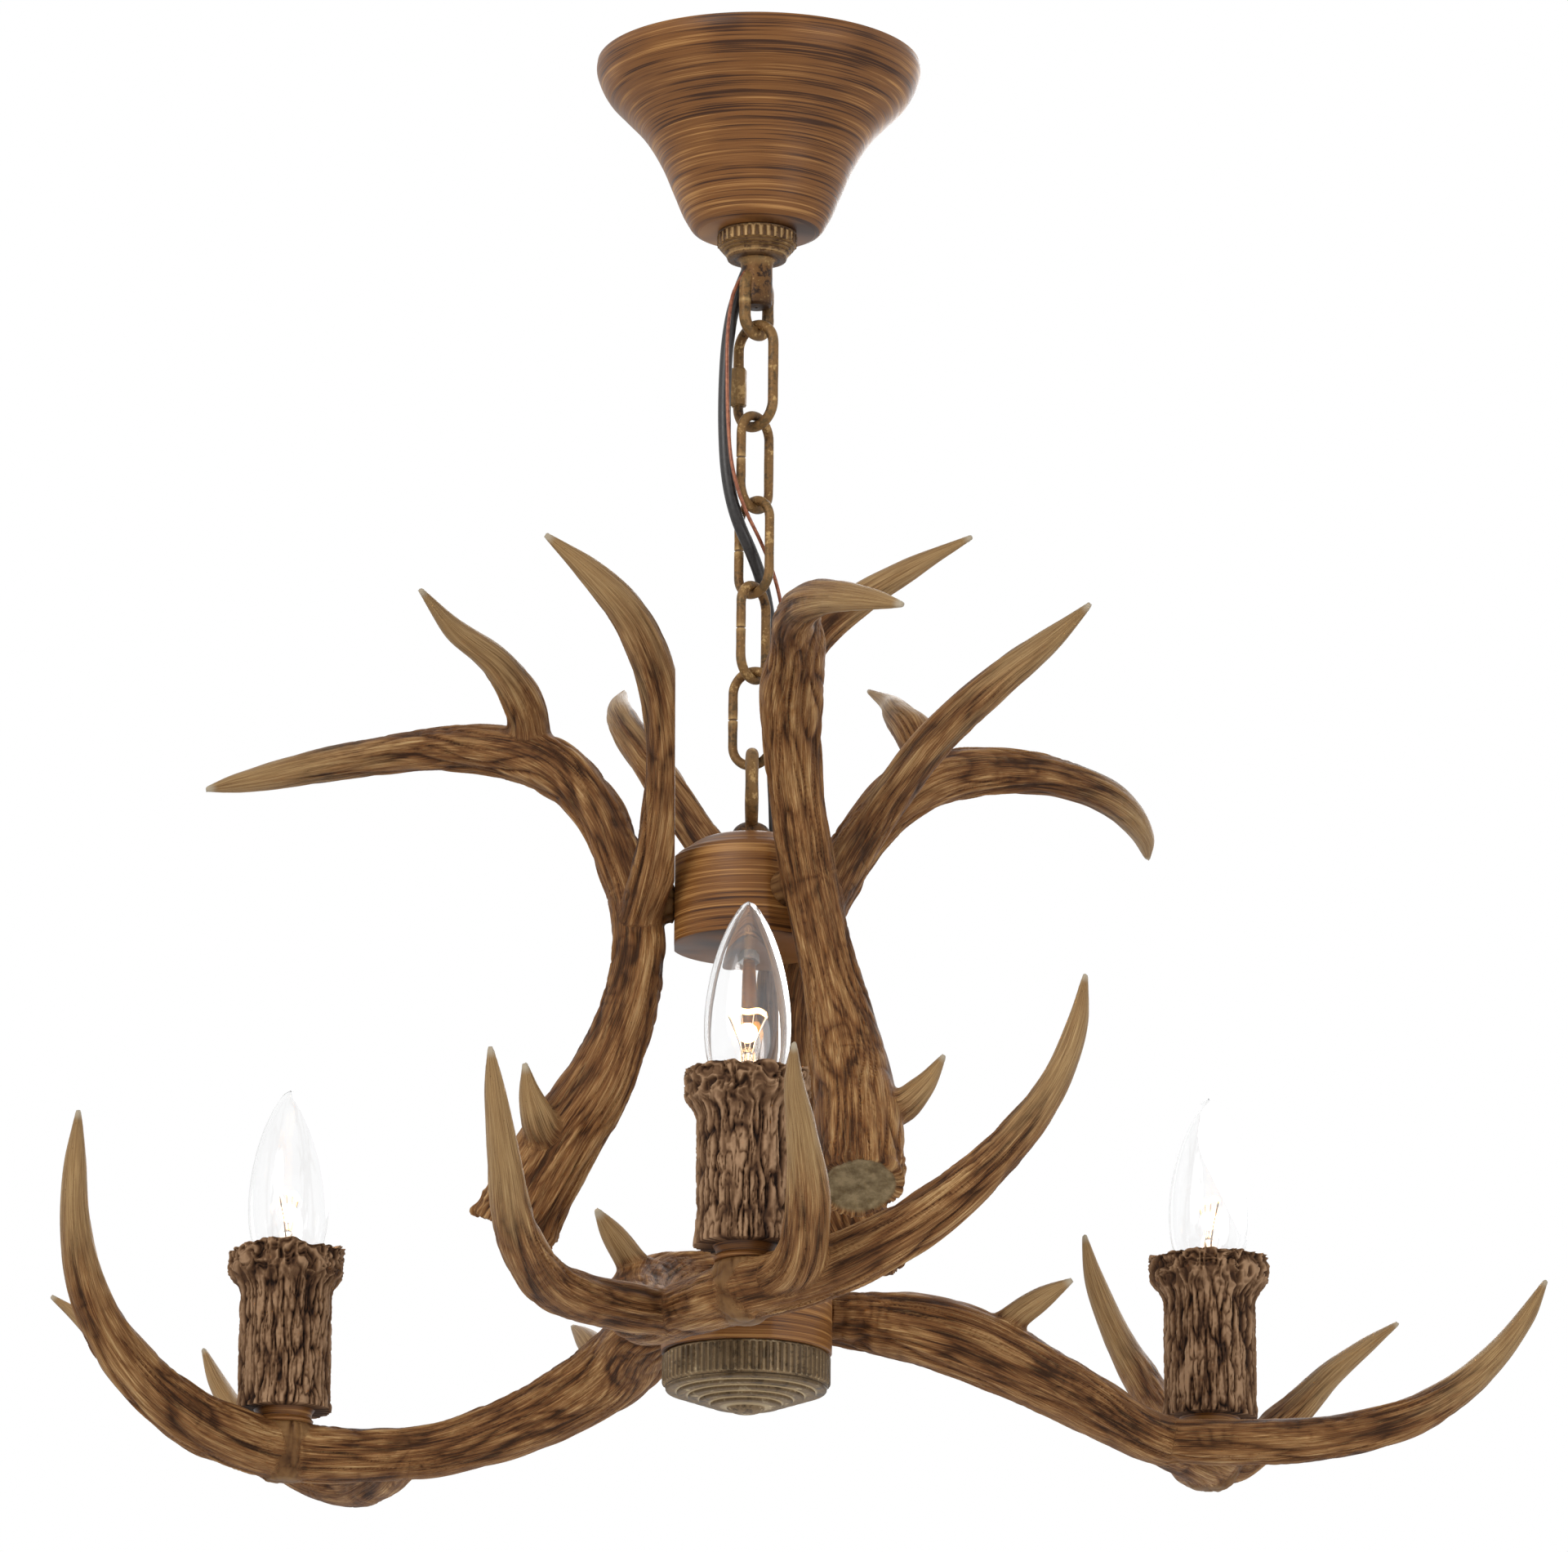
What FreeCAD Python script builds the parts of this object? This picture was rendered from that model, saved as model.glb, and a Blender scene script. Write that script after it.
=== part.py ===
"""Antler chandelier: canopy, link chain, turned hubs, six cast antlers in two tiers and three candle lamps.

Millimetres, +Z up. The origin is the centre of the ceiling plane, where the canopy's rim meets the ceiling,
so the whole fixture hangs at negative Z. Azimuth 0 is +X, and -90 degrees faces the viewer.
"""

import FreeCAD, Part
import math
import os
from FreeCAD import Vector

os.makedirs("parts", exist_ok=True)

# ---- ceiling fitting ----
BRACKET_LENGTH = 112.0
BRACKET_WIDTH = 20.0
BRACKET_THICKNESS = 2.0
SLOT_SPACING = 88.9
SLOT_LENGTH = 12.0
SLOT_WIDTH = 5.0
NIPPLE_RADIUS = 4.8
NIPPLE_BORE = 3.4
NIPPLE_END = 88.0
NUT_ACROSS_FLATS = 15.0
NUT_THICKNESS = 4.0
THREAD_CLEARANCE = 0.05
CANOPY_DIAMETER = 137.0
CANOPY_HEIGHT = 75.0
CANOPY_WALL = 1.2
CANOPY_WAIST_RADIUS = 40.5
CANOPY_FOOT_RADIUS = 29.8
STEM_RADIUS = 9.5
STEM_RISE = 18.0
STEM_CLEARANCE = 0.4
COLLAR_RADIUS = 16.9
COLLAR_KNURL_HEIGHT = 4.6
COLLAR_STEP_RADIUS = 12.7
COLLAR_STEPS = 3
COLLAR_HEIGHT = 12.0
COLLAR_EDGE = 1.2
COLLAR_TEETH = 27
KNURL_DEPTH = 0.6
NECK_RADIUS = 6.9
NECK_HEIGHT = 12.0

# ---- chain ----
LOOP_LENGTH = 31.5
LOOP_WIDTH = 20.0
LOOP_WIRE = 5.0
LOOP_DROP = 23.5
QUICK_LINK_LENGTH = 48.8
QUICK_LINK_WIDTH = 24.0
QUICK_LINK_WIRE = 4.4
QUICK_LINK_GAP = 6.0
SLEEVE_NUT_LENGTH = 16.8
SLEEVE_NUT_RADIUS = 3.7
SLEEVE_NUT_CLEARANCE = 0.06
LINK_LENGTH = 45.3
LINK_WIDTH = 22.0
LINK_WIRE = 4.0
LINK_JOINT_GAP = 0.8
LINK_COUNT = 4
CONTACT_GAP = 0.3
HUB_RING_RADIUS = 18.0
HUB_RING_WIRE = 5.5
LOOP_HEADING = 50.0
QUICK_LINK_HEADING = -42.0
LINK_HEADINGS = (50.0, -45.0, 55.0, -25.0)
HUB_RING_HEADING = 90.0

# ---- centre column ----
DOME_RADIUS = 8.0
DOME_HEIGHT = 8.0
RING_STEM_LENGTH = 15.0
COVER_RISE = 9.0
COVER_LIP = 3.0
COVER_FLAT = 9.0
COVER_WALL = 1.6
COVER_EDGE = 4.0
CORD_HOLE_CLEARANCE = 0.6
HUB_WALL = 3.0
UPPER_HUB_RADIUS = 33.0
UPPER_HUB_HEIGHT = 37.0
LOWER_HUB_RADIUS = 35.0
LOWER_HUB_HEIGHT = 38.0
SEAT_DEPTH = 1.5
HUB_SPACING = 133.0
TUBE_RADIUS = 4.75
TUBE_BORE = 3.5
COUPLING_LENGTH = 18.0
FINIAL_RADIUS = 34.5
FINIAL_BAND_HEIGHT = 14.0
FINIAL_TEETH = 42
FINIAL_STEPS = 5
FINIAL_STEP_HEIGHT = 1.6
FINIAL_BUTTON_RADIUS = 8.0
FINIAL_CLEARANCE = 0.08

# ---- antlers ----
ARM_COUNT = 3
UPPER_FIRST_AZIMUTH = 180.0
LOWER_FIRST_AZIMUTH = 150.0
SCREW_RADIUS = 2.2
SCREW_HEAD_RADIUS = 4.0
SCREW_HEAD_HEIGHT = 2.6
SCREW_REACH = 12.0
UPPER_PAD_RADIUS = 9.0
UPPER_PAD_REACH = 19.0
BEAM_SIDES = 9
TINE_SIDES = 7

# Points (outward, sideways, up, radius) of each stem, from the middle of the antler's seat on its hub.
UPPER_ANTLER = {
    "beam": [
        (66, -4, -138, 17.5),
        (48, 5, -106, 16.8),
        (29, 12, -76, 14.4),
        (17, 11, -42, 12.2),
        (15, 4, -12, 11.4),
        (22, -7, 17, 11.0),
        (33, -18, 44, 11.0),
        (52, -30, 66, 12.5),
        (79, -43, 77, 11.0),
        (112, -62, 81, 9.0),
        (153, -73, 77, 7.4),
        (184, -70, 69, 4.6),
        (199, -64, 64, 1.2),
    ],
    "tall_tine": [
        (17, 5, -16, 8.0),
        (8, 22, 11, 9.5),
        (3, 46, 44, 8.6),
        (7, 70, 76, 8.2),
        (18, 90, 98, 7.6),
        (36, 105, 114, 5.0),
        (53, 113, 126, 1.2),
    ],
    "crown_tine": [
        (60, -35, 70, 8.0),
        (65, -24, 92, 8.6),
        (75, -10, 105, 6.8),
        (93, 4, 116, 4.6),
        (107, 23, 128, 1.2),
    ],
    "brow_tine": [
        (44, 6, -98, 9.5),
        (52, 19, -101, 8.0),
        (57, 30, -91, 5.4),
        (60, 39, -77, 1.2),
    ],
}
LAMP_REACH = 190.8
LAMP_SEAT_DROP = 28.5
LAMP_BOSS_RADIUS = 13.0
LAMP_BOSS_HEIGHT = 24.0
LOWER_ANTLER = {
    "beam": [
        (0, 0, 0, 10.4),
        (17, -9, -1, 13.0),
        (42, -32, -8, 16.0),
        (88, -42, -25, 14.2),
        (134, -33, -38, 11.5),
        (166, -19, -40, 12.0),
        (191, 0, -39, 13.0),
        (207, 33, -33, 12.5),
        (219, 68, -16, 11.0),
        (223, 98, 9, 8.6),
        (218, 120, 41, 6.0),
        (213, 128, 64, 4.2),
        (210, 131, 83, 1.2),
    ],
    "outer_tine": [
        (148, -27, -40, 9.5),
        (176, -53, -42, 10.0),
        (206, -76, -40, 9.6),
        (238, -87, -29, 8.4),
        (270, -92, -5, 6.2),
        (287, -95, 16, 4.0),
        (296, -97, 32, 1.2),
    ],
    "middle_tine": [
        (191, 2, -39, 9.0),
        (216, 20, -34, 9.4),
        (242, 24, -15, 8.2),
        (266, 21, 9, 5.6),
        (284, 18, 24, 3.4),
        (298, 18, 34, 1.2),
    ],
    "brow_tine": [
        (56, -36, -16, 10.0),
        (65, -46, -2, 6.8),
        (76, -54, 8, 4.6),
        (86, -60, 15, 1.2),
    ],
}

# ---- lamps ----
POST_RADIUS = 4.8
POST_BORE = 3.4
SEAT_PLATE_RADIUS = 12.5
SEAT_PLATE_HEIGHT = 6.5
SLEEVE_RADIUS = 19.5
SLEEVE_BORE = 16.6
SLEEVE_HEIGHT = 70.0
SLEEVE_CROWN_RADIUS = 24.5
SLEEVE_CROWN_HEIGHT = 12.0
SLEEVE_FLOOR = 3.0
SLEEVE_SIDES = 18
HOLDER_RADIUS = 13.0
HOLDER_HEIGHT = 50.0
HOLDER_FLOOR = 27.5
BASE_RADIUS = 7.0
BASE_LENGTH = 22.0
BASE_CLEARANCE = 0.3
TIP_RADIUS = 2.6
TIP_LENGTH = 3.0
INSULATOR_HEIGHT = 3.0
BULB_RADIUS = 17.0
BULB_LENGTH = 82.0
GLASS_WALL = 0.9
GLASS_NECK_RADIUS = 7.0
STEM_GLASS_LENGTH = 22.0
STEM_GLASS_RADIUS = 2.4
STEM_FLARE = 9.0
SHELL_WALL = 1.0
STEM_CLEARANCE_IN_SHELL = 0.2
LEAD_FOOT = 3.0
FILAMENT_SPAN = 15.0
FILAMENT_DROP = 46.0
LEAD_RADIUS = 0.45

# ---- supply cord and ground wire, from the loop's neck to the cover; heights are from the canopy's foot ----
CORD_DIAMETER = 5.4
CORD_ROUTE = [
    (-3.4, 0.6, -15.0),
    (-9.0, -0.6, -29.0),
    (-12.0, -2.2, -47.0),
    (-13.0, -3.6, -67.0),
    (-13.0, -4.2, -88.0),
    (-11.6, -4.2, -109.0),
    (-7.6, -2.8, -126.0),
    (-1.0, 2.0, -139.0),
    (4.0, 10.0, -151.0),
    (7.2, 15.6, -168.0),
    (8.0, 16.0, -190.0),
    (8.2, 13.4, -213.0),
    (8.8, 10.6, -233.0),
    (9.8, 9.8, -249.0),
    (10.0, 9.8, -263.6),
]
WIRE_DIAMETER = 1.6
WIRE_ROUTE = [
    (-3.0, -2.8, -15.0),
    (-9.2, -4.8, -24.5),
    (-11.2, -7.8, -36.0),
    (-12.2, -9.2, -50.0),
    (-12.0, -10.0, -68.0),
    (-11.4, -11.0, -88.0),
    (-9.6, -12.2, -107.0),
    (-4.6, -10.2, -123.0),
    (3.0, -3.0, -136.0),
    (9.4, 5.6, -150.0),
    (13.2, 11.4, -168.0),
    (13.8, 12.6, -190.0),
    (13.2, 9.4, -213.0),
    (13.8, 6.2, -234.0),
    (14.6, 5.6, -250.0),
    (14.8, 5.8, -263.6),
]
ARC_SHARE = 0.45

# ---- fineness of round forms ----
ROUND_SIDES = 24
CANOPY_SIDES = 30
SMALL_SIDES = 12
WIRE_SIDES = 8
BAR_SIDES = 10
LEAD_SIDES = 4
CORD_SIDES = 6
BEND_STEPS = 7

# ---- levels worked out from the sizes above ----
Z = Vector(0, 0, 1)
COLLAR_TOP = -CANOPY_HEIGHT
COLLAR_BOTTOM = COLLAR_TOP - COLLAR_HEIGHT
NECK_BOTTOM = COLLAR_BOTTOM - NECK_HEIGHT
LOOP_BOTTOM = NECK_BOTTOM - LOOP_DROP
QUICK_TOP = LOOP_BOTTOM + LOOP_WIRE + QUICK_LINK_WIRE + CONTACT_GAP
LINK_INNER = LINK_LENGTH - 2 * LINK_WIRE
LINK_PITCH = LINK_INNER - CONTACT_GAP
FIRST_LINK_TOP = QUICK_TOP - QUICK_LINK_LENGTH + QUICK_LINK_WIRE + LINK_WIRE + CONTACT_GAP
LAST_LINK_TOP = FIRST_LINK_TOP - (LINK_COUNT - 1) * LINK_PITCH
HUB_RING_TOP = LAST_LINK_TOP - LINK_LENGTH + LINK_WIRE + HUB_RING_WIRE + CONTACT_GAP
HUB_RING_CENTRE = HUB_RING_TOP - HUB_RING_RADIUS
DOME_TOP = HUB_RING_CENTRE - HUB_RING_RADIUS + HUB_RING_WIRE - 1.0
DOME_BOTTOM = DOME_TOP - DOME_HEIGHT
TUBE_HOLE = (TUBE_RADIUS + THREAD_CLEARANCE) / math.cos(math.pi / BAR_SIDES)
UPPER_HUB_TOP = DOME_BOTTOM - COVER_RISE
UPPER_HUB_BOTTOM = UPPER_HUB_TOP - UPPER_HUB_HEIGHT
UPPER_SEAT = Vector(UPPER_HUB_RADIUS - SEAT_DEPTH, 0, UPPER_HUB_TOP - UPPER_HUB_HEIGHT / 2)
LOWER_HUB_TOP = UPPER_HUB_BOTTOM - HUB_SPACING
LOWER_HUB_BOTTOM = LOWER_HUB_TOP - LOWER_HUB_HEIGHT
LOWER_SEAT = Vector(LOWER_HUB_RADIUS - SEAT_DEPTH, 0, LOWER_HUB_TOP - LOWER_HUB_HEIGHT / 2)
BAND_BOTTOM = LOWER_HUB_BOTTOM - FINIAL_BAND_HEIGHT
FINIAL_BOTTOM = BAND_BOTTOM - FINIAL_STEPS * FINIAL_STEP_HEIGHT
LAMP_AXIS = LOWER_SEAT.x + LAMP_REACH
LAMP_SEAT = LOWER_SEAT.z - LAMP_SEAT_DROP
SLEEVE_BOTTOM = LAMP_SEAT + SEAT_PLATE_HEIGHT
HOLDER_BOTTOM = SLEEVE_BOTTOM + SLEEVE_FLOOR
BASE_BOTTOM = HOLDER_BOTTOM + HOLDER_FLOOR + TIP_LENGTH + BASE_CLEARANCE
GLASS_BOTTOM = BASE_BOTTOM + BASE_LENGTH
ARMS = "abc"


def save(name, shape):
    shape.exportStep("parts/" + name + ".step")


def azimuth_of(arm, first):
    return first + arm * 360.0 / ARM_COUNT


def below_canopy(route):
    return [Vector(x, y, COLLAR_TOP + z) for x, y, z in route]


def around(radius, z, sides, x=0.0, y=0.0):
    step = 2 * math.pi / sides
    return [Vector(x + radius * math.cos(k * step), y + radius * math.sin(k * step), z) for k in range(sides)]


def patch(points):
    """Flat face on three or four points, or two triangles where the four aren't in one plane."""
    corners = [p for k, p in enumerate(points) if (p - points[k - 1]).Length > 1e-6]
    if len(corners) < 3:
        return []
    normal = (corners[1] - corners[0]).cross(corners[2] - corners[0])
    if len(corners) == 4 and abs((corners[3] - corners[0]).dot(normal)) > 1e-6 * normal.Length:
        return patch([corners[0], corners[1], corners[2]]) + patch([corners[0], corners[2], corners[3]])
    return [Part.Face(Part.makePolygon(corners + corners[:1]))]


def skinned(rings, closed):
    """Solid whose skin joins each ring of points to the next; open runs are capped at both ends."""
    sides = len(rings[0])
    faces = []
    for ring, following in zip(rings, rings[1:] + rings[:1] if closed else rings[1:]):
        for k in range(sides):
            after = (k + 1) % sides
            faces += patch([ring[k], ring[after], following[after], following[k]])
    if not closed:
        faces += [Part.Face(Part.makePolygon(ring + ring[:1])) for ring in (rings[0], rings[-1])]
    skin = Part.makeCompound(faces)
    skin.sewShape()
    solid = Part.makeSolid(skin.Shells[0])
    return solid if solid.Volume > 0 else solid.reversed()


def turned(outline, sides=ROUND_SIDES):
    """Many-sided turned solid about Z from a closed outline of (radius, height) corners."""
    return skinned([around(r, z, sides) if r else [Vector(0, 0, z)] * sides for r, z in outline], True)


def bar(radius, bottom, top, x=0.0, y=0.0, sides=BAR_SIDES):
    """Upright many-sided bar."""
    foot = around(radius, bottom, sides, x, y)
    return Part.Face(Part.makePolygon(foot + foot[:1])).extrude(Z * (top - bottom))


def round_bar(radius, bottom, top, x=0.0, y=0.0):
    """Truly round bar, for shafts and bores that turn in each other and for stated holes."""
    return Part.makeCylinder(radius, top - bottom, Vector(x, y, bottom))


def spoke(radius, start, end, sides=BAR_SIDES):
    """Many-sided bar between two points."""
    along = (end - start).normalize()
    side = along.cross(Vector(0, 1, 0) if abs(along.y) < 0.9 else Z).normalize()
    other = along.cross(side)
    ring = [start + side * p.x + other * p.y for p in around(radius, 0, sides)]
    return Part.Face(Part.makePolygon(ring + ring[:1])).extrude(end - start)


def hex_nut(bottom, height, bore):
    corner = NUT_ACROSS_FLATS / math.sqrt(3)
    ring = [Vector(corner * math.cos(k * math.pi / 3), corner * math.sin(k * math.pi / 3), bottom)
            for k in range(7)]
    blank = Part.Face(Part.makePolygon(ring)).extrude(Z * height)
    return blank.cut(bar(bore, bottom - 1, bottom + height + 1))


def knurled(radius, bottom, height, teeth):
    """Disc whose rim carries fine straight ribs."""
    ring = []
    for k in range(2 * teeth):
        angle = math.pi * k / teeth
        reach = radius - KNURL_DEPTH * (k % 2)
        ring.append(Vector(reach * math.cos(angle), reach * math.sin(angle), bottom))
    return Part.Face(Part.makePolygon(ring + ring[:1])).extrude(Z * height)


# ---------------------------------------------------------------- ceiling fitting
def ceiling_bracket():
    plate = Part.makeBox(BRACKET_LENGTH, BRACKET_WIDTH, BRACKET_THICKNESS,
                         Vector(-BRACKET_LENGTH / 2, -BRACKET_WIDTH / 2, -BRACKET_THICKNESS))
    corners = [e for e in plate.Edges if abs(e.Vertexes[0].Z - e.Vertexes[1].Z) > BRACKET_THICKNESS / 2]
    plate = plate.makeChamfer(BRACKET_WIDTH * 0.2, corners)
    plate = plate.cut(bar(NIPPLE_RADIUS + THREAD_CLEARANCE, -BRACKET_THICKNESS - 1, 1))
    half_slot = (SLOT_LENGTH - SLOT_WIDTH) / 2
    for side in (-1, 1):
        middle = side * SLOT_SPACING / 2
        slot = Part.makeBox(2 * half_slot, SLOT_WIDTH, 2 * BRACKET_THICKNESS,
                            Vector(middle - half_slot, -SLOT_WIDTH / 2, -1.5 * BRACKET_THICKNESS))
        for end in (-half_slot, half_slot):
            slot = slot.fuse(round_bar(SLOT_WIDTH / 2, -1.5 * BRACKET_THICKNESS, 0.5 * BRACKET_THICKNESS,
                                 middle + end))
        plate = plate.cut(slot)
    return plate


def nipple_locknut():
    return hex_nut(-BRACKET_THICKNESS - NUT_THICKNESS, NUT_THICKNESS, NIPPLE_RADIUS + THREAD_CLEARANCE)


def threaded_nipple():
    return bar(NIPPLE_RADIUS, -NIPPLE_END, 0).cut(bar(NIPPLE_BORE, -NIPPLE_END - 1, 1))


def bell_outline(inset, floor):
    """Half outline of the bell from its rim down to the flat round its hole, set in by the wall."""
    rim = CANOPY_DIAMETER / 2
    fall = -CANOPY_HEIGHT + floor
    foot = CANOPY_FOOT_RADIUS
    waist = CANOPY_WAIST_RADIUS
    curve = [(rim, 0), (0.98 * rim, 0.11), (0.86 * rim, 0.265), (0.725 * rim, 0.4), (waist, 0.6),
             (0.5 * (waist + foot), 0.77), (foot, 0.93), (0.81 * foot, 1.0)]
    return [(r - inset, share * fall) for r, share in curve]


def canopy():
    hole = STEM_RADIUS + STEM_CLEARANCE
    outside = bell_outline(0.0, 0.0) + [(hole, -CANOPY_HEIGHT)]
    inside = bell_outline(CANOPY_WALL, CANOPY_WALL) + [(hole, -CANOPY_HEIGHT + CANOPY_WALL)]
    return turned(outside + inside[::-1], CANOPY_SIDES)


def canopy_collar():
    """Nut with a short knurled rim above rings that step in towards its foot."""
    bore = STEM_RADIUS + THREAD_CLEARANCE
    lip = COLLAR_TOP - COLLAR_EDGE
    low = lip - COLLAR_KNURL_HEIGHT
    ring = knurled(COLLAR_RADIUS, low, COLLAR_KNURL_HEIGHT, COLLAR_TEETH)
    outline = [(0, COLLAR_TOP), (COLLAR_RADIUS - COLLAR_EDGE, COLLAR_TOP),
               (COLLAR_RADIUS - KNURL_DEPTH, lip), (COLLAR_RADIUS - COLLAR_EDGE, low)]
    inward = (COLLAR_RADIUS - COLLAR_STEP_RADIUS) / (COLLAR_STEPS + 1)
    fall = (low - COLLAR_BOTTOM - COLLAR_EDGE) / (COLLAR_STEPS + 1)
    for step in range(1, COLLAR_STEPS + 1):
        radius, level = COLLAR_RADIUS - step * inward, low - step * fall
        outline += [(radius, level + 0.6 * fall), (radius, level)]
    outline += [(COLLAR_STEP_RADIUS, COLLAR_BOTTOM + COLLAR_EDGE),
                (COLLAR_STEP_RADIUS - COLLAR_EDGE, COLLAR_BOTTOM), (0, COLLAR_BOTTOM)]
    return turned(outline).fuse(ring).cut(round_bar(bore, COLLAR_BOTTOM - 1, COLLAR_TOP + 1)).removeSplitter()


def ring_of_wire(radius, wire, centre_z, heading):
    """Closed round ring that stands upright, with its plane along the heading."""
    angles = [math.pi * k / BEND_STEPS for k in range(2 * BEND_STEPS)]
    places = [Vector(radius * math.sin(a), 0, centre_z + radius * math.cos(a)) for a in angles]
    return turned_to(bent_wire(places, wire), heading)


def canopy_loop():
    """Cast long loop under a round threaded stem, with outlets in its neck for the cord and the ground wire."""
    stem = round_bar(STEM_RADIUS, COLLAR_BOTTOM, COLLAR_TOP + STEM_RISE)
    stem = stem.fuse(turned([(0, COLLAR_BOTTOM), (NECK_RADIUS, COLLAR_BOTTOM), (NECK_RADIUS, NECK_BOTTOM + 2.0),
                             (NECK_RADIUS - 1.5, NECK_BOTTOM - 1.0), (0, NECK_BOTTOM - 1.0)], SMALL_SIDES))
    stem = stem.cut(bar(NIPPLE_RADIUS + THREAD_CLEARANCE, -NIPPLE_END, COLLAR_TOP + STEM_RISE + 1))
    loop = oval_link(LOOP_LENGTH, LOOP_WIDTH, LOOP_WIRE, LOOP_BOTTOM + LOOP_LENGTH)
    body = stem.fuse(turned_to(loop, LOOP_HEADING))
    for route, diameter in ((CORD_ROUTE, CORD_DIAMETER), (WIRE_ROUTE, WIRE_DIAMETER)):
        outlet, first_bend = below_canopy(route)[:2]
        body = body.cut(spoke(diameter / 2 + CONTACT_GAP, outlet, first_bend, WIRE_SIDES))
    return body


# ---------------------------------------------------------------- chain
def bent_wire(places, wire):
    """Closed run of wire in the XZ plane, through many-sided sections at the places."""
    sections = []
    for k, place in enumerate(places):
        along = (places[(k + 1) % len(places)] - places[k - 1]).normalize()
        side = along.cross(Vector(0, 1, 0))
        ring = []
        for corner in range(WIRE_SIDES):
            angle = 2 * math.pi * (corner + 0.5) / WIRE_SIDES
            ring.append(place + side * (wire / 2 * math.cos(angle)) + Vector(0, wire / 2 * math.sin(angle), 0))
        sections.append(ring)
    return skinned(sections, True)


def oval_link(length, width, wire, top):
    """Oval link of round wire in the XZ plane: two half rings joined by two straight legs."""
    bend = (width - wire) / 2
    high, low = top - wire / 2 - bend, top - length + wire / 2 + bend
    places = []
    for centre, start in ((high, -math.pi / 2), (low, math.pi / 2)):
        for k in range(BEND_STEPS + 1):
            angle = start + math.pi * k / BEND_STEPS
            places.append(Vector(bend * math.sin(angle), 0, centre + bend * math.cos(angle)))
    return bent_wire(places, wire)


def turned_to(shape, heading):
    copy = shape.copy()
    copy.rotate(Vector(), Z, heading)
    return copy


def quick_link():
    """Link whose one leg is open, with threaded ends that the sleeve nut bridges."""
    link = oval_link(QUICK_LINK_LENGTH, QUICK_LINK_WIDTH, QUICK_LINK_WIRE, QUICK_TOP)
    leg = -(QUICK_LINK_WIDTH - QUICK_LINK_WIRE) / 2
    low = QUICK_TOP - QUICK_LINK_LENGTH + QUICK_LINK_WIDTH / 2 + QUICK_LINK_WIRE / 4
    gap = bar(QUICK_LINK_WIRE, low, low + QUICK_LINK_GAP, leg)
    return turned_to(link.cut(gap), QUICK_LINK_HEADING)


def quick_link_sleeve():
    leg = -(QUICK_LINK_WIDTH - QUICK_LINK_WIRE) / 2
    bottom = QUICK_TOP - QUICK_LINK_LENGTH + QUICK_LINK_WIDTH / 2 + CONTACT_GAP
    corners = [Vector(leg + SLEEVE_NUT_RADIUS * math.cos(k * math.pi / 3),
                      SLEEVE_NUT_RADIUS * math.sin(k * math.pi / 3), bottom) for k in range(7)]
    nut = Part.Face(Part.makePolygon(corners)).extrude(Z * SLEEVE_NUT_LENGTH)
    bore = round_bar(QUICK_LINK_WIRE / 2 + SLEEVE_NUT_CLEARANCE, bottom - 1, bottom + SLEEVE_NUT_LENGTH + 1, leg)
    return turned_to(nut.cut(bore), QUICK_LINK_HEADING)


def chain_link(number):
    """Bent wire link, with the butt joint of the wire in the middle of one leg."""
    top = FIRST_LINK_TOP - number * LINK_PITCH
    link = oval_link(LINK_LENGTH, LINK_WIDTH, LINK_WIRE, top)
    leg = -(LINK_WIDTH - LINK_WIRE) / 2
    middle = top - LINK_LENGTH / 2
    link = link.cut(bar(LINK_WIRE, middle - LINK_JOINT_GAP / 2, middle + LINK_JOINT_GAP / 2, leg))
    return turned_to(link, LINK_HEADINGS[number])


# ---------------------------------------------------------------- centre column
def hub_ring():
    """Ring with a domed foot and a threaded stem that goes down into the upper hub."""
    stem = DOME_BOTTOM - RING_STEM_LENGTH
    foot = turned([(0, DOME_TOP), (0.55 * DOME_RADIUS, DOME_TOP), (0.85 * DOME_RADIUS, DOME_TOP - 0.3 * DOME_HEIGHT),
                   (DOME_RADIUS, DOME_TOP - 0.7 * DOME_HEIGHT), (DOME_RADIUS, DOME_BOTTOM),
                   (TUBE_RADIUS, DOME_BOTTOM), (TUBE_RADIUS, stem), (0, stem)])
    ring = ring_of_wire(HUB_RING_RADIUS - HUB_RING_WIRE / 2, HUB_RING_WIRE, HUB_RING_CENTRE, HUB_RING_HEADING)
    return ring.fuse(foot)


def upper_hub_cover():
    """Shallow dished lid on the upper hub, with holes for the ring's stem, the cord and the ground wire."""
    rim = UPPER_HUB_RADIUS - SEAT_DEPTH
    flat = DOME_RADIUS + COVER_FLAT
    lid = turned([
        (TUBE_HOLE, DOME_BOTTOM), (flat, DOME_BOTTOM),
        (rim - COVER_LIP, UPPER_HUB_TOP + COVER_LIP), (rim, UPPER_HUB_TOP + COVER_LIP / 3),
        (rim, UPPER_HUB_TOP), (rim - COVER_EDGE, UPPER_HUB_TOP), (flat - COVER_WALL, DOME_BOTTOM - COVER_WALL),
        (TUBE_HOLE, DOME_BOTTOM - COVER_WALL),
    ])
    for route, diameter in ((CORD_ROUTE, CORD_DIAMETER), (WIRE_ROUTE, WIRE_DIAMETER)):
        lid = lid.cut(bar(diameter / 2 + CORD_HOLE_CLEARANCE, UPPER_HUB_TOP - 1, DOME_BOTTOM + 1, *route[-1][:2]))
    return lid


def seat_flat(hub_radius, seat, azimuth, height):
    """Block that cuts one flat for an antler on a hub's side."""
    block = Part.makeBox(2 * SEAT_DEPTH, 2 * hub_radius, 2 * height,
                         Vector(seat.x, -hub_radius, seat.z - height))
    return turned_to(block, azimuth)


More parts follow.
